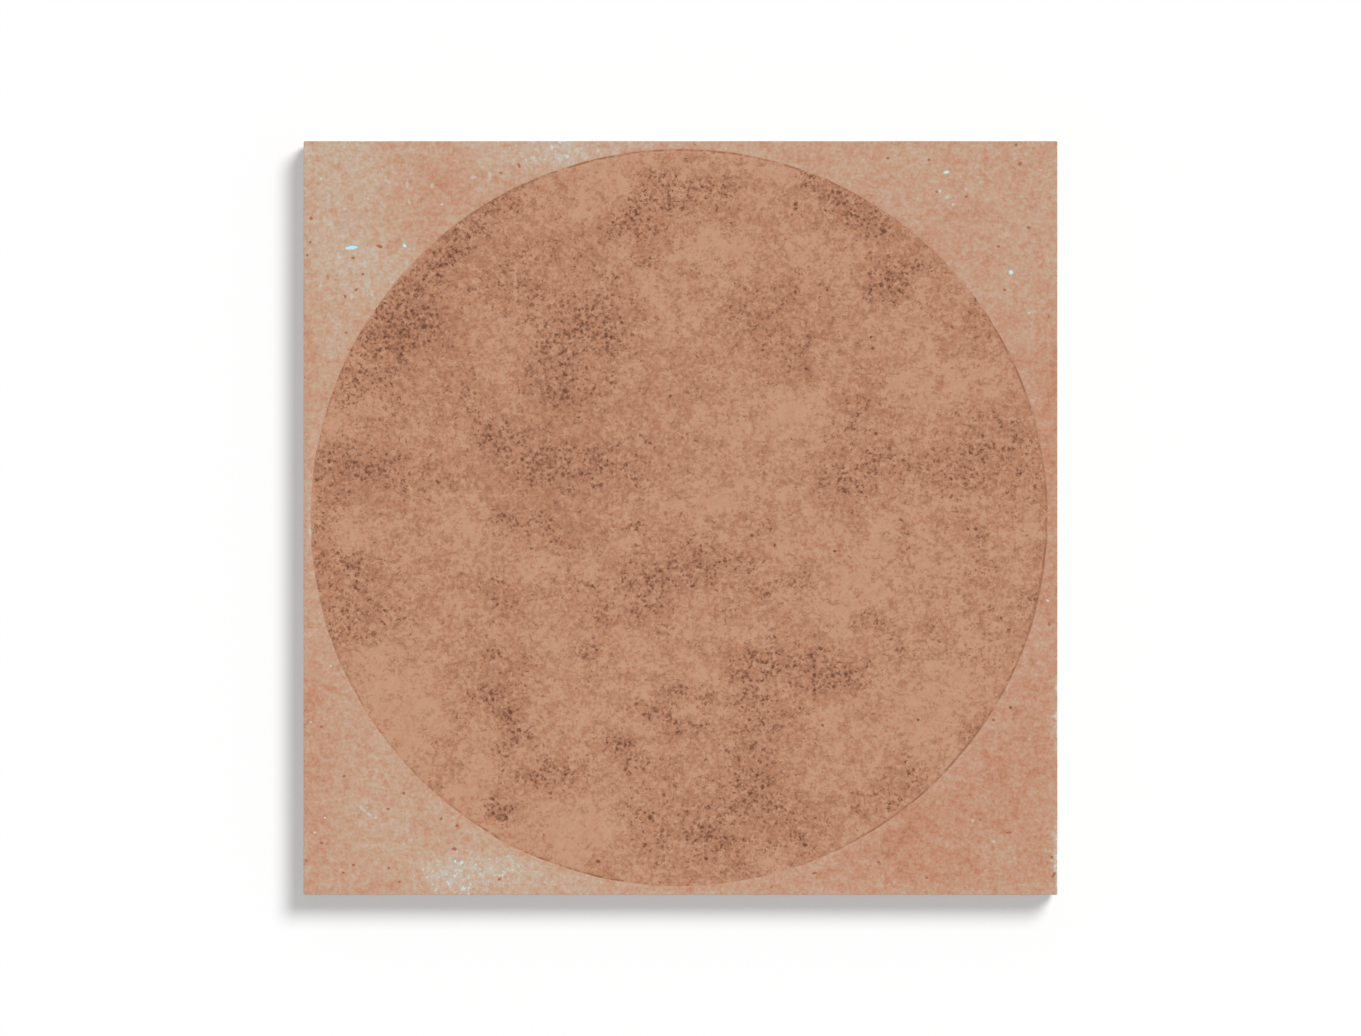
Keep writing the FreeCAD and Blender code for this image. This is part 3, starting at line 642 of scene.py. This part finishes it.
    (-52, -77, 2, 2, 0, 5), (-47, -64, 3, 2, 0, 3), (20, -89, 3, 2, 0, 5), (2, -50, 2, 4, 0, 4),
    # the same off the disc
    (61, -82, 6, 3, 38, -5), (-58, -94, 17, 5, 0, 4), (-75, -82, 6, 7, 0, 5), (62, 95, 5, 3, 0, 5),
    (-88, -86, 6, 11, 0, 2.5), (-61, 94, 5, 3, 0, -2.5), (-92, 44, 6, 2, 60, 3), (-82, 58, 7, 2, 52, 3),
    (-72, 69, 6, 2, 45, 3.5), (-62, 79, 5, 2, 40, 3), (-52, 86, 4, 2, 35, 4), (97, -20, 1, 5, 0, 3),
    (75, 80.5, 1, 0, -20, -9),
]


# Single marks that can be told apart: x, y, half length, half width in mm, turn in degrees
whiteFlecks = [
    (-87.2, 71.7, 1.6, 0.52, 5), (-73.2, 72.3, 0.62, 0.4, -35), (70.5, 91.7, 0.85, 0.5, 20), (87.7, 65.2, 0.7, 0.55, -30),
    (-58, -91.3, 0.5, 0.4, 0), (-59.7, -91, 0.35, 0.35, 0),
]
blueFlecks = [
    (-63.3, 83.2, 0.45, 0.4, 0), (-95.3, 90, 0.4, 0.4, 0), (92.5, 54.4, 0.4, 0.35, 0), (-97, -83.5, 0.4, 0.4, 0),
    (-80.8, -79.5, 0.35, 0.35, 0), (-92.8, -39.2, 0.35, 0.3, 0), (97.4, -21.9, 0.4, 0.4, 0), (92.5, -58.7, 0.3, 0.3, 0), (68.8, 86.6, 0.35, 0.5, 0), (72.2, 83.2, 0.35, 0.4, 0),
    (-94.3, -79.5, 0.35, 0.35, 0), (-98.1, -54.2, 0.35, 0.35, 0), (-28.5, 93.6, 0.5, 0.4, -20),
]
paleFlecks = [
    (-54.9, 90.4, 0.8, 0.45, 0), (-50.6, 91.2, 0.4, 0.9, 10), (-81.8, 59.5, 0.4, 1.0, 0), (-87.2, 58.7, 0.4, 0.9, 0),
    (12, 98, 0.5, 0.4, 0), (-82.5, -78.7, 0.8, 0.5, -30), (-84.5, -77, 1.4, 0.5, -35), (-98.2, -4, 0.5, 1.2, 0),
    (83, -85.8, 0.5, 0.5, 0), (77.5, -80.3, 0.5, 0.6, 0), (-76.5, 62.5, 0.7, 0.5, 0), (-95.5, 61.5, 0.6, 0.4, 40),
    (-89, 82, 0.6, 0.5, 0), (-72, 84, 0.4, 1.0, 20), (-72.5, 88.5, 0.5, 1.2, 0), (-66, 88, 0.5, 0.6, 0), (70.7, 85.1, 0.6, 0.7, 30), (75.7, 87.2, 0.4, 0.5, 0),
]
redSpecks = [
    (-98, 79.5, 0.5, 0.5, 0), (-98.2, 73.2, 0.4, 0.4, 0), (-99, 69.7, 0.4, 0.4, 0), (-79.8, 72, 0.9, 0.45, -15),
    (-86.8, 69, 0.55, 0.4, 0), (-84.3, 64.7, 0.4, 0.4, 0), (-86, 60.5, 0.6, 0.4, 35), (-89, 58.8, 0.35, 0.5, 20),
    (-88.7, 49.2, 0.4, 0.4, 0), (-42.8, 93.5, 0.4, 0.75, 15), (-47.6, 91.5, 0.5, 0.4, 0), (55, 95.5, 0.5, 0.4, 0),
    (66, 95, 0.5, 0.4, 0), (75.8, 85.3, 0.5, 0.35, 0), (68, 86.5, 0.5, 0.4, 0), (90, 94, 0.6, 0.5, 0),
    (89, 99, 0.5, 0.4, 0), (92.4, 77, 0.6, 0.45, -20), (84.3, 72, 0.5, 0.4, 0), (86, 60.5, 0.5, 0.4, 0),
    (-95.3, -55.4, 0.5, 0.4, 0), (-89.2, -68.5, 0.5, 0.4, 0), (-77.5, -77.2, 0.5, 0.4, 0), (-63.5, -79.8, 0.5, 0.45, 0),
    (-59.3, -81.6, 0.5, 0.5, 0), (-60, -87.8, 0.8, 0.45, -10), (-86.7, -92, 0.5, 0.4, 0), (-99.3, -90.8, 0.5, 0.4, 0),
    (-95.2, -86.2, 0.5, 0.35, 0), (-77.4, -92.9, 0.45, 0.4, 0), (-48, -95.8, 0.6, 0.4, 30), (-74.5, -96.5, 0.45, 0.4, 0),
    (-89.5, -94, 0.45, 0.4, 0), (-73.5, -73, 0.4, 0.4, 0), (83, -53.6, 0.4, 0.5, 0), 
    (97.8, -28.3, 0.35, 0.6, 20), (99, -94.6, 0.9, 0.5, 60), (98.5, -90, 0.45, 0.4, 0), (87, -83.5, 0.8, 0.35, 8),
    (65.3, -95.4, 0.5, 0.4, 0), (35.5, -94.2, 0.8, 0.4, 10), (52.5, -91.3, 0.4, 0.4, 0), (79.5, -80, 0.4, 0.4, 0),
]
darkDots = [
    (19, -4.6, 0.5, 0.5, 0), (-21.9, -91.1, 0.7, 0.5, -20), (25, -7.3, 0.45, 0.45, 0), (41, -8.8, 0.45, 0.4, 0),
    (9, -12.6, 0.4, 0.4, 0), (-2.7, 32.4, 0.5, 0.4, 30), (51, 45, 0.45, 0.4, 0), (50.6, 48, 0.4, 0.4, 0),
    (63, -53.6, 0.4, 0.4, 0), (37.7, -55, 0.4, 0.4, 0), (85, -26.5, 0.4, 0.4, 0), (87.5, -50.3, 0.4, 0.4, 0),
]

# What each kind of mark does: the lightness inside it, and how far it goes there
markKinds = [
    (whiteFlecks, 228, 1.0), (blueFlecks, 208, 0.9), (paleFlecks, 205, 0.6), (redSpecks, 118, 0.9), (darkDots, 86, 0.95),
]
marksApart = 6                     # mm, least distance between two marks of one layer


def splitMarks():
    # layers in which no two marks are close, so that each spot of the face has one nearest mark
    layers = []
    for marks, lightness, share in markKinds:
        for mark in marks:
            room = [layer for layer in layers if all(math.dist(mark[:2], far[:2]) > marksApart for far in layer)]
            if not room:
                layers.append([])
                room = layers[-1:]
            room[0].append((*mark, lightness, share))
    return layers


def markField(points, layer):
    # for each point: its place in the nearest mark, measured in half lengths and widths, and how far outside it is
    best = np.full(len(points), 1e6)
    seats = np.zeros((len(points), 3))
    effects = np.zeros((len(points), 3))
    for x, y, length, width, turn, lightness, share in layer:
        cosine, sine = math.cos(math.radians(turn)), math.sin(math.radians(turn))
        across, up = points[:, 0] - x, points[:, 1] - y
        along = (across * cosine + up * sine) / length
        beside = (up * cosine - across * sine) / width
        outside = np.maximum(np.hypot(along, beside) - 1, 0) * width
        nearer = np.hypot(across, up) < best
        best[nearer] = np.hypot(across, up)[nearer]
        seats[nearer] = np.stack([along, beside, outside], axis=1)[nearer]
        effects[nearer] = (lightness, share, 0)
    return seats, effects


# the seed of the noise that strays the clouds, so that they lie the same in every run
noise.seed_set(15)


def stray(points, perMm, reach):
    # moves each point a little, so that the clouds get ragged edges
    moved = [noise.noise_vector(Vector((x * perMm, y * perMm, 4.2))) for x, y in points]
    return reach * np.array(moved)[:, :2]


def dabWeight(points, x, y, length, width, turn, fall):
    cosine, sine = math.cos(math.radians(turn)), math.sin(math.radians(turn))
    across, up = points[:, 0] - x, points[:, 1] - y
    along = (across * cosine + up * sine) / (length + 0.8)
    beside = (up * cosine - across * sine) / (width + 0.8)
    return np.exp(-((along ** 2 + beside ** 2) ** (fall / 2)))


def layClouds(points, clouds, fall=2.4):
    most = np.zeros(len(points))
    least = np.zeros(len(points))
    for x, y, length, width, turn, strength in clouds:
        weight = abs(strength) * dabWeight(points, x, y, length, width, turn, fall)
        if strength > 0:
            most = 1 - (1 - most) * (1 - weight)
        else:
            least = 1 - (1 - least) * (1 - weight)
    return most - least


def addDabs(points, dabs, fall=2.6):
    total = np.zeros(len(points))
    for x, y, length, width, turn, steps in dabs:
        total += steps * dabWeight(points, x, y, length, width, turn, fall)
    return total


# Where limy wear shows along the right edge: y, reach and strength
fringeStretches = [(-94, 7, 1.0), (-84, 4, 0.6), (-54.5, 4, 0.9), (-45, 1.5, 0.9), (-62, 2, 0.3)]


def fringeAlong(flat):
    total = np.zeros(len(flat))
    for y, reach, strength in fringeStretches:
        total = np.maximum(total, strength * np.exp(-(((flat[:, 1] - y) / reach) ** 4)))
    return np.where(flat[:, 0] > abs(flat[:, 1]) - 0.5, total, 0)


def paintFields(mesh):
    count = len(mesh.vertices)
    spots = np.zeros(count * 3)
    mesh.vertices.foreach_get("co", spots)
    spots = spots.reshape(-1, 3)
    flat = spots[:, :2] * 1000
    ragged = flat + stray(flat, 0.11, 2.2) + stray(flat, 0.35, 1.2)
    fromDisc = flat - 1000 * np.array(tile["discAside"])
    radius = np.hypot(fromDisc[:, 0], fromDisc[:, 1])
    angle = np.arctan2(fromDisc[:, 1], fromDisc[:, 0])
    line = np.array([tile["lineMiddle"] + discWander(a) for a in angle]) * 1000
    half = tile["side"] * 500
    fromEdge = half - np.maximum(abs(flat[:, 0]), abs(flat[:, 1]))
    below = np.clip(9.97 - spots[:, 2] * 1000, 0, 0.06) / 0.06
    fields = {
        "lineStrength": np.array([lineClear(a) for a in angle]),
        "insideLineMm": np.clip(line - radius, -6, 6),
        "fromEdgeMm": np.clip(fromEdge, 0, 6),
        "wornFringe": fringeAlong(flat),
        # painted light: marks the left and lower arris, away from the lamp, to be lightened against its shade
        "arrisPaintedLight": np.where(flat.sum(axis=1) < 0, below, 0),
        "darkCloud": layClouds(ragged, darkClouds),
        "broadField": layClouds(ragged, broadFields),
        "paleCloud": layClouds(ragged, paleClouds),
        "redCloud": layClouds(ragged, redClouds),
        "toneShift": addDabs(ragged, toneDabs),
    }
    for name, values in fields.items():
        layer = mesh.attributes.new(name, "FLOAT", "POINT")
        layer.data.foreach_set("value", values.astype(np.float32))
    for number, marks in enumerate(splitMarks()):
        for name, values in zip(("markSeat", "markEffect"), markField(flat, marks)):
            layer = mesh.attributes.new(f"{name}{number}", "FLOAT_VECTOR", "POINT")
            layer.data.foreach_set("vector", values.astype(np.float32).ravel())
    print("marks in", len(splitMarks()), "layers")


# Colour against lightness on the disc, off the disc and on the clay of the sides and back.
# Each stop is a lightness and the colour there, all as seen, 0 to 255.
stain = {
    "disc": [
        (78, (104, 70, 54)), (105, (139, 96, 74)), (125, (163, 114, 89)), (145, (184, 134, 106)),
        (158, (194, 148, 120)), (172, (202, 160, 132)),
    ],
    "ground": [
        (105, (142, 92, 70)), (130, (172, 117, 90)), (146, (190, 134, 107)), (156, (194, 145, 118)),
        (165, (196, 156, 130)), (176, (198, 168, 145)), (186, (199, 180, 161)), (196, (198, 193, 182)),
        (206, (195, 209, 207)), (218, (187, 228, 240)), (230, (181, 237, 254)),
    ],
    "body": [
        (95, (134, 82, 60)), (120, (163, 106, 80)), (140, (184, 128, 99)), (160, (198, 150, 122)),
        (180, (208, 174, 150)),
    ],
    "redGrain": (198, 129, 94),
    "line": 115,
    "discTan": 159.8,
    "filmCover": 0.45,
    "filmDepth": 14.2,
    "discTop": 165.3,
    "groundMiddle": 166,
    "bodyMiddle": 142,
}


def sway(tree, place, perMm, steps, octaves=2, keep=0.9, twist=0.0):
    # noise about nought; its usual sway is so many steps of lightness
    kept = [keep ** octave for octave in range(octaves + 1)]
    spread = 0.1325 * math.sqrt(sum(part ** 2 for part in kept)) / sum(kept)
    amount = steps / spread
    return maths(tree, "MULTIPLY_ADD", grain(tree, place, perMm, octaves, keep, twist), amount, -amount / 2)


def times(tree, value, factor):
    return maths(tree, "MULTIPLY", value, factor)


def addUp(tree, first, *others):
    total = first
    for value in others:
        total = maths(tree, "ADD", total, value)
    return total


def shiftedTo(tree, place, seed):
    made = addNode(tree, "ShaderNodeVectorMath", operation="ADD")
    feed(tree, made.inputs[0], place)
    made.inputs[1].default_value = (seed * 31.7, seed * -23.3, seed * 11.9)
    return made.outputs[0]


def stipple(tree, place, perMm, seed, crowd, reach, steps, space="2D"):
    # one dot to a cell, or none where it isn't crowded; bent out of round
    bend = addNode(tree, "ShaderNodeTexNoise")
    feed(tree, bend.inputs["Vector"], place)
    bend.inputs["Scale"].default_value = perMm * 1.9
    bend.inputs["Detail"].default_value = 1
    bent = addNode(tree, "ShaderNodeVectorMath", operation="MULTIPLY_ADD")
    feed(tree, bent.inputs[0], bend.outputs["Color"])
    bent.inputs[1].default_value = (1.1 / perMm,) * 3
    feed(tree, bent.inputs[2], shiftedTo(tree, place, seed))
    cells = addNode(tree, "ShaderNodeTexVoronoi", voronoi_dimensions=space)
    feed(tree, cells.inputs["Vector"], bent.outputs[0])
    cells.inputs["Scale"].default_value = perMm
    chances = addNode(tree, "ShaderNodeSeparateColor")
    feed(tree, chances.inputs[0], cells.outputs["Color"])
    size = times(tree, maths(tree, "SUBTRACT", addUp(tree, crowd, chances.outputs[0]), 1, clamp=True), reach)
    dot = ease(tree, cells.outputs["Distance"], size, times(tree, size, 0.3))
    depth = maths(tree, "MULTIPLY_ADD", chances.outputs[1], 0.6 * steps, 0.6 * steps)
    return maths(tree, "MULTIPLY", dot, depth)


def rampOf(tree, lightness, stops):
    low, high = stops[0][0], stops[-1][0]
    share = maths(tree, "DIVIDE", maths(tree, "SUBTRACT", lightness, low), high - low)
    made = addNode(tree, "ShaderNodeValToRGB")
    ramp = made.color_ramp
    while len(ramp.elements) < len(stops):
        ramp.elements.new(0.5)
    for element, (at, colour) in zip(ramp.elements, stops):
        element.position = (at - low) / (high - low)
        element.color = tint(*colour)
    feed(tree, made.inputs[0], share)
    return made.outputs[0]


def discColour(tree, place, marks):
    clouds = painted(tree, "darkCloud")
    field = painted(tree, "broadField")
    shift = painted(tree, "toneShift")
    other = shiftedTo(tree, place, 1)

    # a thin brown film over the tan, worn through in crisp patches
    cover = addUp(
        tree, sway(tree, other, 0.3, 0.85, 3, 0.92), times(tree, clouds, 1.4), times(tree, field, 1.1),
        times(tree, shift, -0.17), stain["filmCover"],
    )
    film = ease(tree, cover, -0.16, 0.16)
    depth = addUp(tree, times(tree, clouds, 3.5), times(tree, field, 5), times(tree, shift, -0.7), stain["filmDepth"])
    coarse = sway(tree, place, 0.13, 1.3, 2, 0.9)
    fine = sway(tree, place, 0.45, 5.8, 2, 0.85)
    crumbs = ease(tree, sway(tree, shiftedTo(tree, place, 3), 1.0, 1.0, 1, 0.6), -0.8, 0.8, -6.5, 6.5)
    liveliness = maths(tree, "MULTIPLY_ADD", film, 0.5, 0.5)
    grains = maths(tree, "MULTIPLY", addUp(tree, fine, crumbs), liveliness)

    # the flecks crowd where the cloud is strong
    crowd = addUp(
        tree, times(tree, clouds, 0.95), sway(tree, other, 0.33, 0.22, 1), times(tree, field, 0.2),
        times(tree, shift, -0.014), 0.33,
    )
    flecks = addUp(
        tree, stipple(tree, place, 0.6, 4, crowd, 0.49, -33), stipple(tree, place, 0.8, 5, crowd, 0.5, -31),
        stipple(tree, place, 0.76, 6, crowd, 0.44, 14),
    )
    flecks = maths(tree, "MULTIPLY", flecks, maths(tree, "MULTIPLY_ADD", film, 0.8, 0.2))
    flecks = maths(tree, "MULTIPLY", flecks, maths(tree, "MULTIPLY_ADD", clouds, 0.3, 0.88))

    tone = addUp(tree, times(tree, maths(tree, "MULTIPLY", film, depth), -1), coarse, grains, flecks, stain["discTan"])
    tone = maths(tree, "SMOOTH_MIN", tone, stain["discTop"], 6)
    for lightness, share in marks:
        tone = towards(tree, tone, lightness, share)

    # the scribed line, clear in some stretches and nearly gone in others
    aside = maths(tree, "ABSOLUTE", maths(tree, "SUBTRACT", painted(tree, "insideLineMm"), 0.2))
    broken = maths(tree, "ADD", sway(tree, place, 0.35, 0.6, 2, 0.8), 1)
    drawn = maths(tree, "MULTIPLY", painted(tree, "lineStrength"), broken, clamp=True)
    drawn = maths(tree, "MULTIPLY", ease(tree, aside, 0.46, 0.06), drawn)
    tone = towards(tree, tone, stain["line"], drawn)

    # some grains are fired redder
    warm = ease(tree, sway(tree, shiftedTo(tree, place, 6), 0.45, 1.0, 3, 0.8), -1.2, 2.2, 0, 0.17)
    return mixColours(tree, warm, rampOf(tree, tone, stain["disc"]), tint(*stain["redGrain"]))


def bendBy(tree, place, perMm, reach, detail=1):
    made = addNode(tree, "ShaderNodeTexNoise")
    feed(tree, made.inputs["Vector"], place)
    made.inputs["Scale"].default_value = perMm
    made.inputs["Detail"].default_value = detail
    centred = addNode(tree, "ShaderNodeVectorMath", operation="SUBTRACT")
    feed(tree, centred.inputs[0], made.outputs["Color"])
    centred.inputs[1].default_value = (0.5, 0.5, 0.5)
    bent = addNode(tree, "ShaderNodeVectorMath", operation="MULTIPLY_ADD")
    feed(tree, bent.inputs[0], centred.outputs[0])
    bent.inputs[1].default_value = (reach, reach, 0)
    feed(tree, bent.inputs[2], place)
    return bent.outputs[0]


def marksOn(tree, place):
    # the share and the lightness of the named marks, layer by layer
    bend = bendBy(tree, place, 1.1, 1.1)
    offset = addNode(tree, "ShaderNodeVectorMath", operation="SUBTRACT")
    feed(tree, offset.inputs[0], bend)
    feed(tree, offset.inputs[1], place)
    found = []
    for number in range(len(splitMarks())):
        seat = addNode(tree, "ShaderNodeAttribute", attribute_name=f"markSeat{number}")
        moved = addNode(tree, "ShaderNodeVectorMath", operation="ADD")
        feed(tree, moved.inputs[0], seat.outputs["Vector"])
        feed(tree, moved.inputs[1], offset.outputs[0])
        level = addNode(tree, "ShaderNodeVectorMath", operation="MULTIPLY")
        feed(tree, level.inputs[0], moved.outputs[0])
        level.inputs[1].default_value = (1, 1, 0)
        away = addNode(tree, "ShaderNodeVectorMath", operation="LENGTH")
        feed(tree, away.inputs[0], level.outputs[0])
        outside = addNode(tree, "ShaderNodeSeparateXYZ")
        feed(tree, outside.inputs[0], seat.outputs["Vector"])
        effect = addNode(tree, "ShaderNodeAttribute", attribute_name=f"markEffect{number}")
        split = addNode(tree, "ShaderNodeSeparateXYZ")
        feed(tree, split.inputs[0], effect.outputs["Vector"])
        share = maths(tree, "MULTIPLY", ease(tree, away.outputs["Value"], 1.2, 0.55), split.outputs[1])
        share = maths(tree, "MULTIPLY", share, ease(tree, outside.outputs[2], 2.2, 1.6))
        found.append((split.outputs[0], share))
    return found


def towards(tree, tone, target, share):
    # moves the lightness towards a target by a share
    gap = maths(tree, "SUBTRACT", target, tone)
    return maths(tree, "MULTIPLY_ADD", gap, share, tone)


def groundColour(tree, place, marks):
    pale = painted(tree, "paleCloud")
    red = painted(tree, "redCloud")
    shift = painted(tree, "toneShift")
    other = shiftedTo(tree, place, 2)
    coarse = sway(tree, place, 0.11, 1.9, 2, 0.8)
    fine = sway(tree, place, 0.5, 4.3, 2, 0.85)
    crumbs = ease(tree, sway(tree, shiftedTo(tree, place, 9), 1.05, 1.0, 1, 0.6), -0.8, 0.8, -4, 4)
    blush = ease(tree, addUp(tree, sway(tree, other, 0.3, 1.0, 4, 0.8), red), 0.8, 1.6, 0, -9)
    lime = ease(tree, addUp(tree, sway(tree, other, 0.5, 1.0, 3, 0.85), times(tree, pale, 1.9)), 2.1, 3.1, 0, 9)
    crowd = addUp(tree, times(tree, pale, 0.75), 0.14)
    grit = addUp(tree, stipple(tree, place, 0.55, 7, crowd, 0.42, 24), stipple(tree, place, 0.8, 11, crowd, 0.42, 18))
    specks = stipple(tree, place, 0.34, 8, addUp(tree, times(tree, red, 0.05), 0.24), 0.42, -25)
    dust = stipple(tree, place, 0.75, 10, addUp(tree, times(tree, red, 0.2), 0.33), 0.46, -12)

    # limy wear along the right edge, and painted light on the arris that lies away from the light, lifting its shade
    ragged = addUp(tree, painted(tree, "fromEdgeMm"), sway(tree, place, 0.7, 0.3, 2, 0.8))
    worn = addUp(tree, ease(tree, ragged, 1.4, 0.1, 0, 22), ease(tree, ragged, 0.45, 0, 0, 20))
    worn = maths(tree, "MULTIPLY", worn, painted(tree, "wornFringe"))
    # painted light: the arris away from the lamp is made 9 steps lighter to lift its shade
    arris = times(tree, painted(tree, "arrisPaintedLight"), 9)
    tone = addUp(
        tree, times(tree, pale, 3), times(tree, red, -3), shift, coarse, fine, crumbs, blush, lime, grit, specks,
        dust, worn, arris, stain["groundMiddle"],
    )
    for lightness, share in marks:
        tone = towards(tree, tone, lightness, share)
    return rampOf(tree, tone, stain["ground"])


def bodyPits(tree, place):
    return stipple(tree, place, 0.45, 12, 0.7, 0.5, -1, "3D")


def bodyColour(tree, place, pits):
    # bare clay of the sides and back: drag marks of the die, grog and pits
    flat = addNode(tree, "ShaderNodeVectorMath", operation="MULTIPLY")
    feed(tree, flat.inputs[0], place)
    flat.inputs[1].default_value = (0.16, 0.16, 1)
    drag = sway(tree, flat.outputs[0], 0.9, 3.2, 2, 0.9)
    coarse = sway(tree, place, 0.08, 4.0, 3, 0.8)
    fine = sway(tree, place, 0.6, 4.2, 3, 0.95)
    grog = stipple(tree, place, 0.6, 13, 0.85, 0.5, 16, "3D")
    tone = addUp(tree, coarse, fine, drag, grog, times(tree, pits, 34), stain["bodyMiddle"])
    return rampOf(tree, tone, stain["body"])


def makeTerracotta():
    material = bpy.data.materials.new("terracotta")
    material.use_nodes = True
    tree = material.node_tree
    tree.nodes.clear()
    where = addNode(tree, "ShaderNodeTexCoord")
    mapping = addNode(tree, "ShaderNodeMapping")
    feed(tree, mapping.inputs["Vector"], where.outputs["Object"])
    mapping.inputs["Scale"].default_value = (1000, 1000, 1000)   # millimetres
    place = mapping.outputs[0]

    onDisc = ease(tree, painted(tree, "insideLineMm"), -0.16, -0.02)
    marks = marksOn(tree, place)
    face = mixColours(tree, onDisc, groundColour(tree, place, marks), discColour(tree, place, marks))
    height = addNode(tree, "ShaderNodeSeparateXYZ")
    feed(tree, height.inputs[0], place)
    onFace = ease(tree, addUp(tree, height.outputs["Z"], sway(tree, place, 1.2, 0.05, 2)), 9.6, 9.85)
    pits = bodyPits(tree, place)
    colour = mixColours(tree, onFace, bodyColour(tree, place, pits), face)

    relief = grain(tree, place, 2.4, 4, 0.6)
    pores = grain(tree, place, 1.1, 2, 0.5)
    offFace = maths(tree, "SUBTRACT", 1, onFace)
    rise = addUp(tree, times(tree, relief, 0.6), times(tree, pores, 0.4), maths(tree, "MULTIPLY", pits, offFace))
    bump = addNode(tree, "ShaderNodeBump")
    bump.inputs["Strength"].default_value = 0.4
    bump.inputs["Distance"].default_value = 0.0001
    feed(tree, bump.inputs["Height"], rise)

    shader = addNode(tree, "ShaderNodeBsdfPrincipled")
    feed(tree, shader.inputs["Base Color"], colour)
    feed(tree, shader.inputs["Roughness"], ease(tree, relief, 0.3, 0.7, 0.72, 0.9))
    shader.inputs["Specular IOR Level"].default_value = 0.12
    feed(tree, shader.inputs["Normal"], bump.outputs[0])
    out = addNode(tree, "ShaderNodeOutputMaterial")
    feed(tree, out.inputs["Surface"], shader.outputs[0])
    return material


def makeTile():
    bm = bmesh.new()
    seats = bm.verts.layers.float_vector.new("seat")
    rim = makeFace(bm, seats)
    rim = makeSides(bm, seats, rim)
    cells = makeKeyedBack(bm, rim)
    bm.verts.layers.float_vector.remove(bm.verts.layers.float_vector["seat"])
    roughen(bm)
    bmesh.ops.remove_doubles(bm, verts=bm.verts, dist=1e-7)
    bmesh.ops.recalc_face_normals(bm, faces=bm.faces)
    for face in bm.faces:
        face.smooth = True
    for edge in bm.edges:
        if edge.is_manifold and edge.calc_face_angle() > math.radians(32):
            edge.smooth = False
    openEdges = sum(1 for edge in bm.edges if not edge.is_manifold)
    triangles = sum(len(face.verts) - 2 for face in bm.faces)
    mesh = bpy.data.meshes.new("terracottaTile")
    bm.to_mesh(mesh)
    bm.free()
    print("tile mesh:", triangles, "triangles,", cells, "cells in the back,", openEdges, "open edges")
    paintFields(mesh)
    mesh.materials.append(makeTerracotta())
    piece = bpy.data.objects.new("terracottaTile", mesh)
    bpy.context.scene.collection.objects.link(piece)
    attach(piece, "root")
    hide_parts("tile")
    return piece


makeTile()
print("tile made")
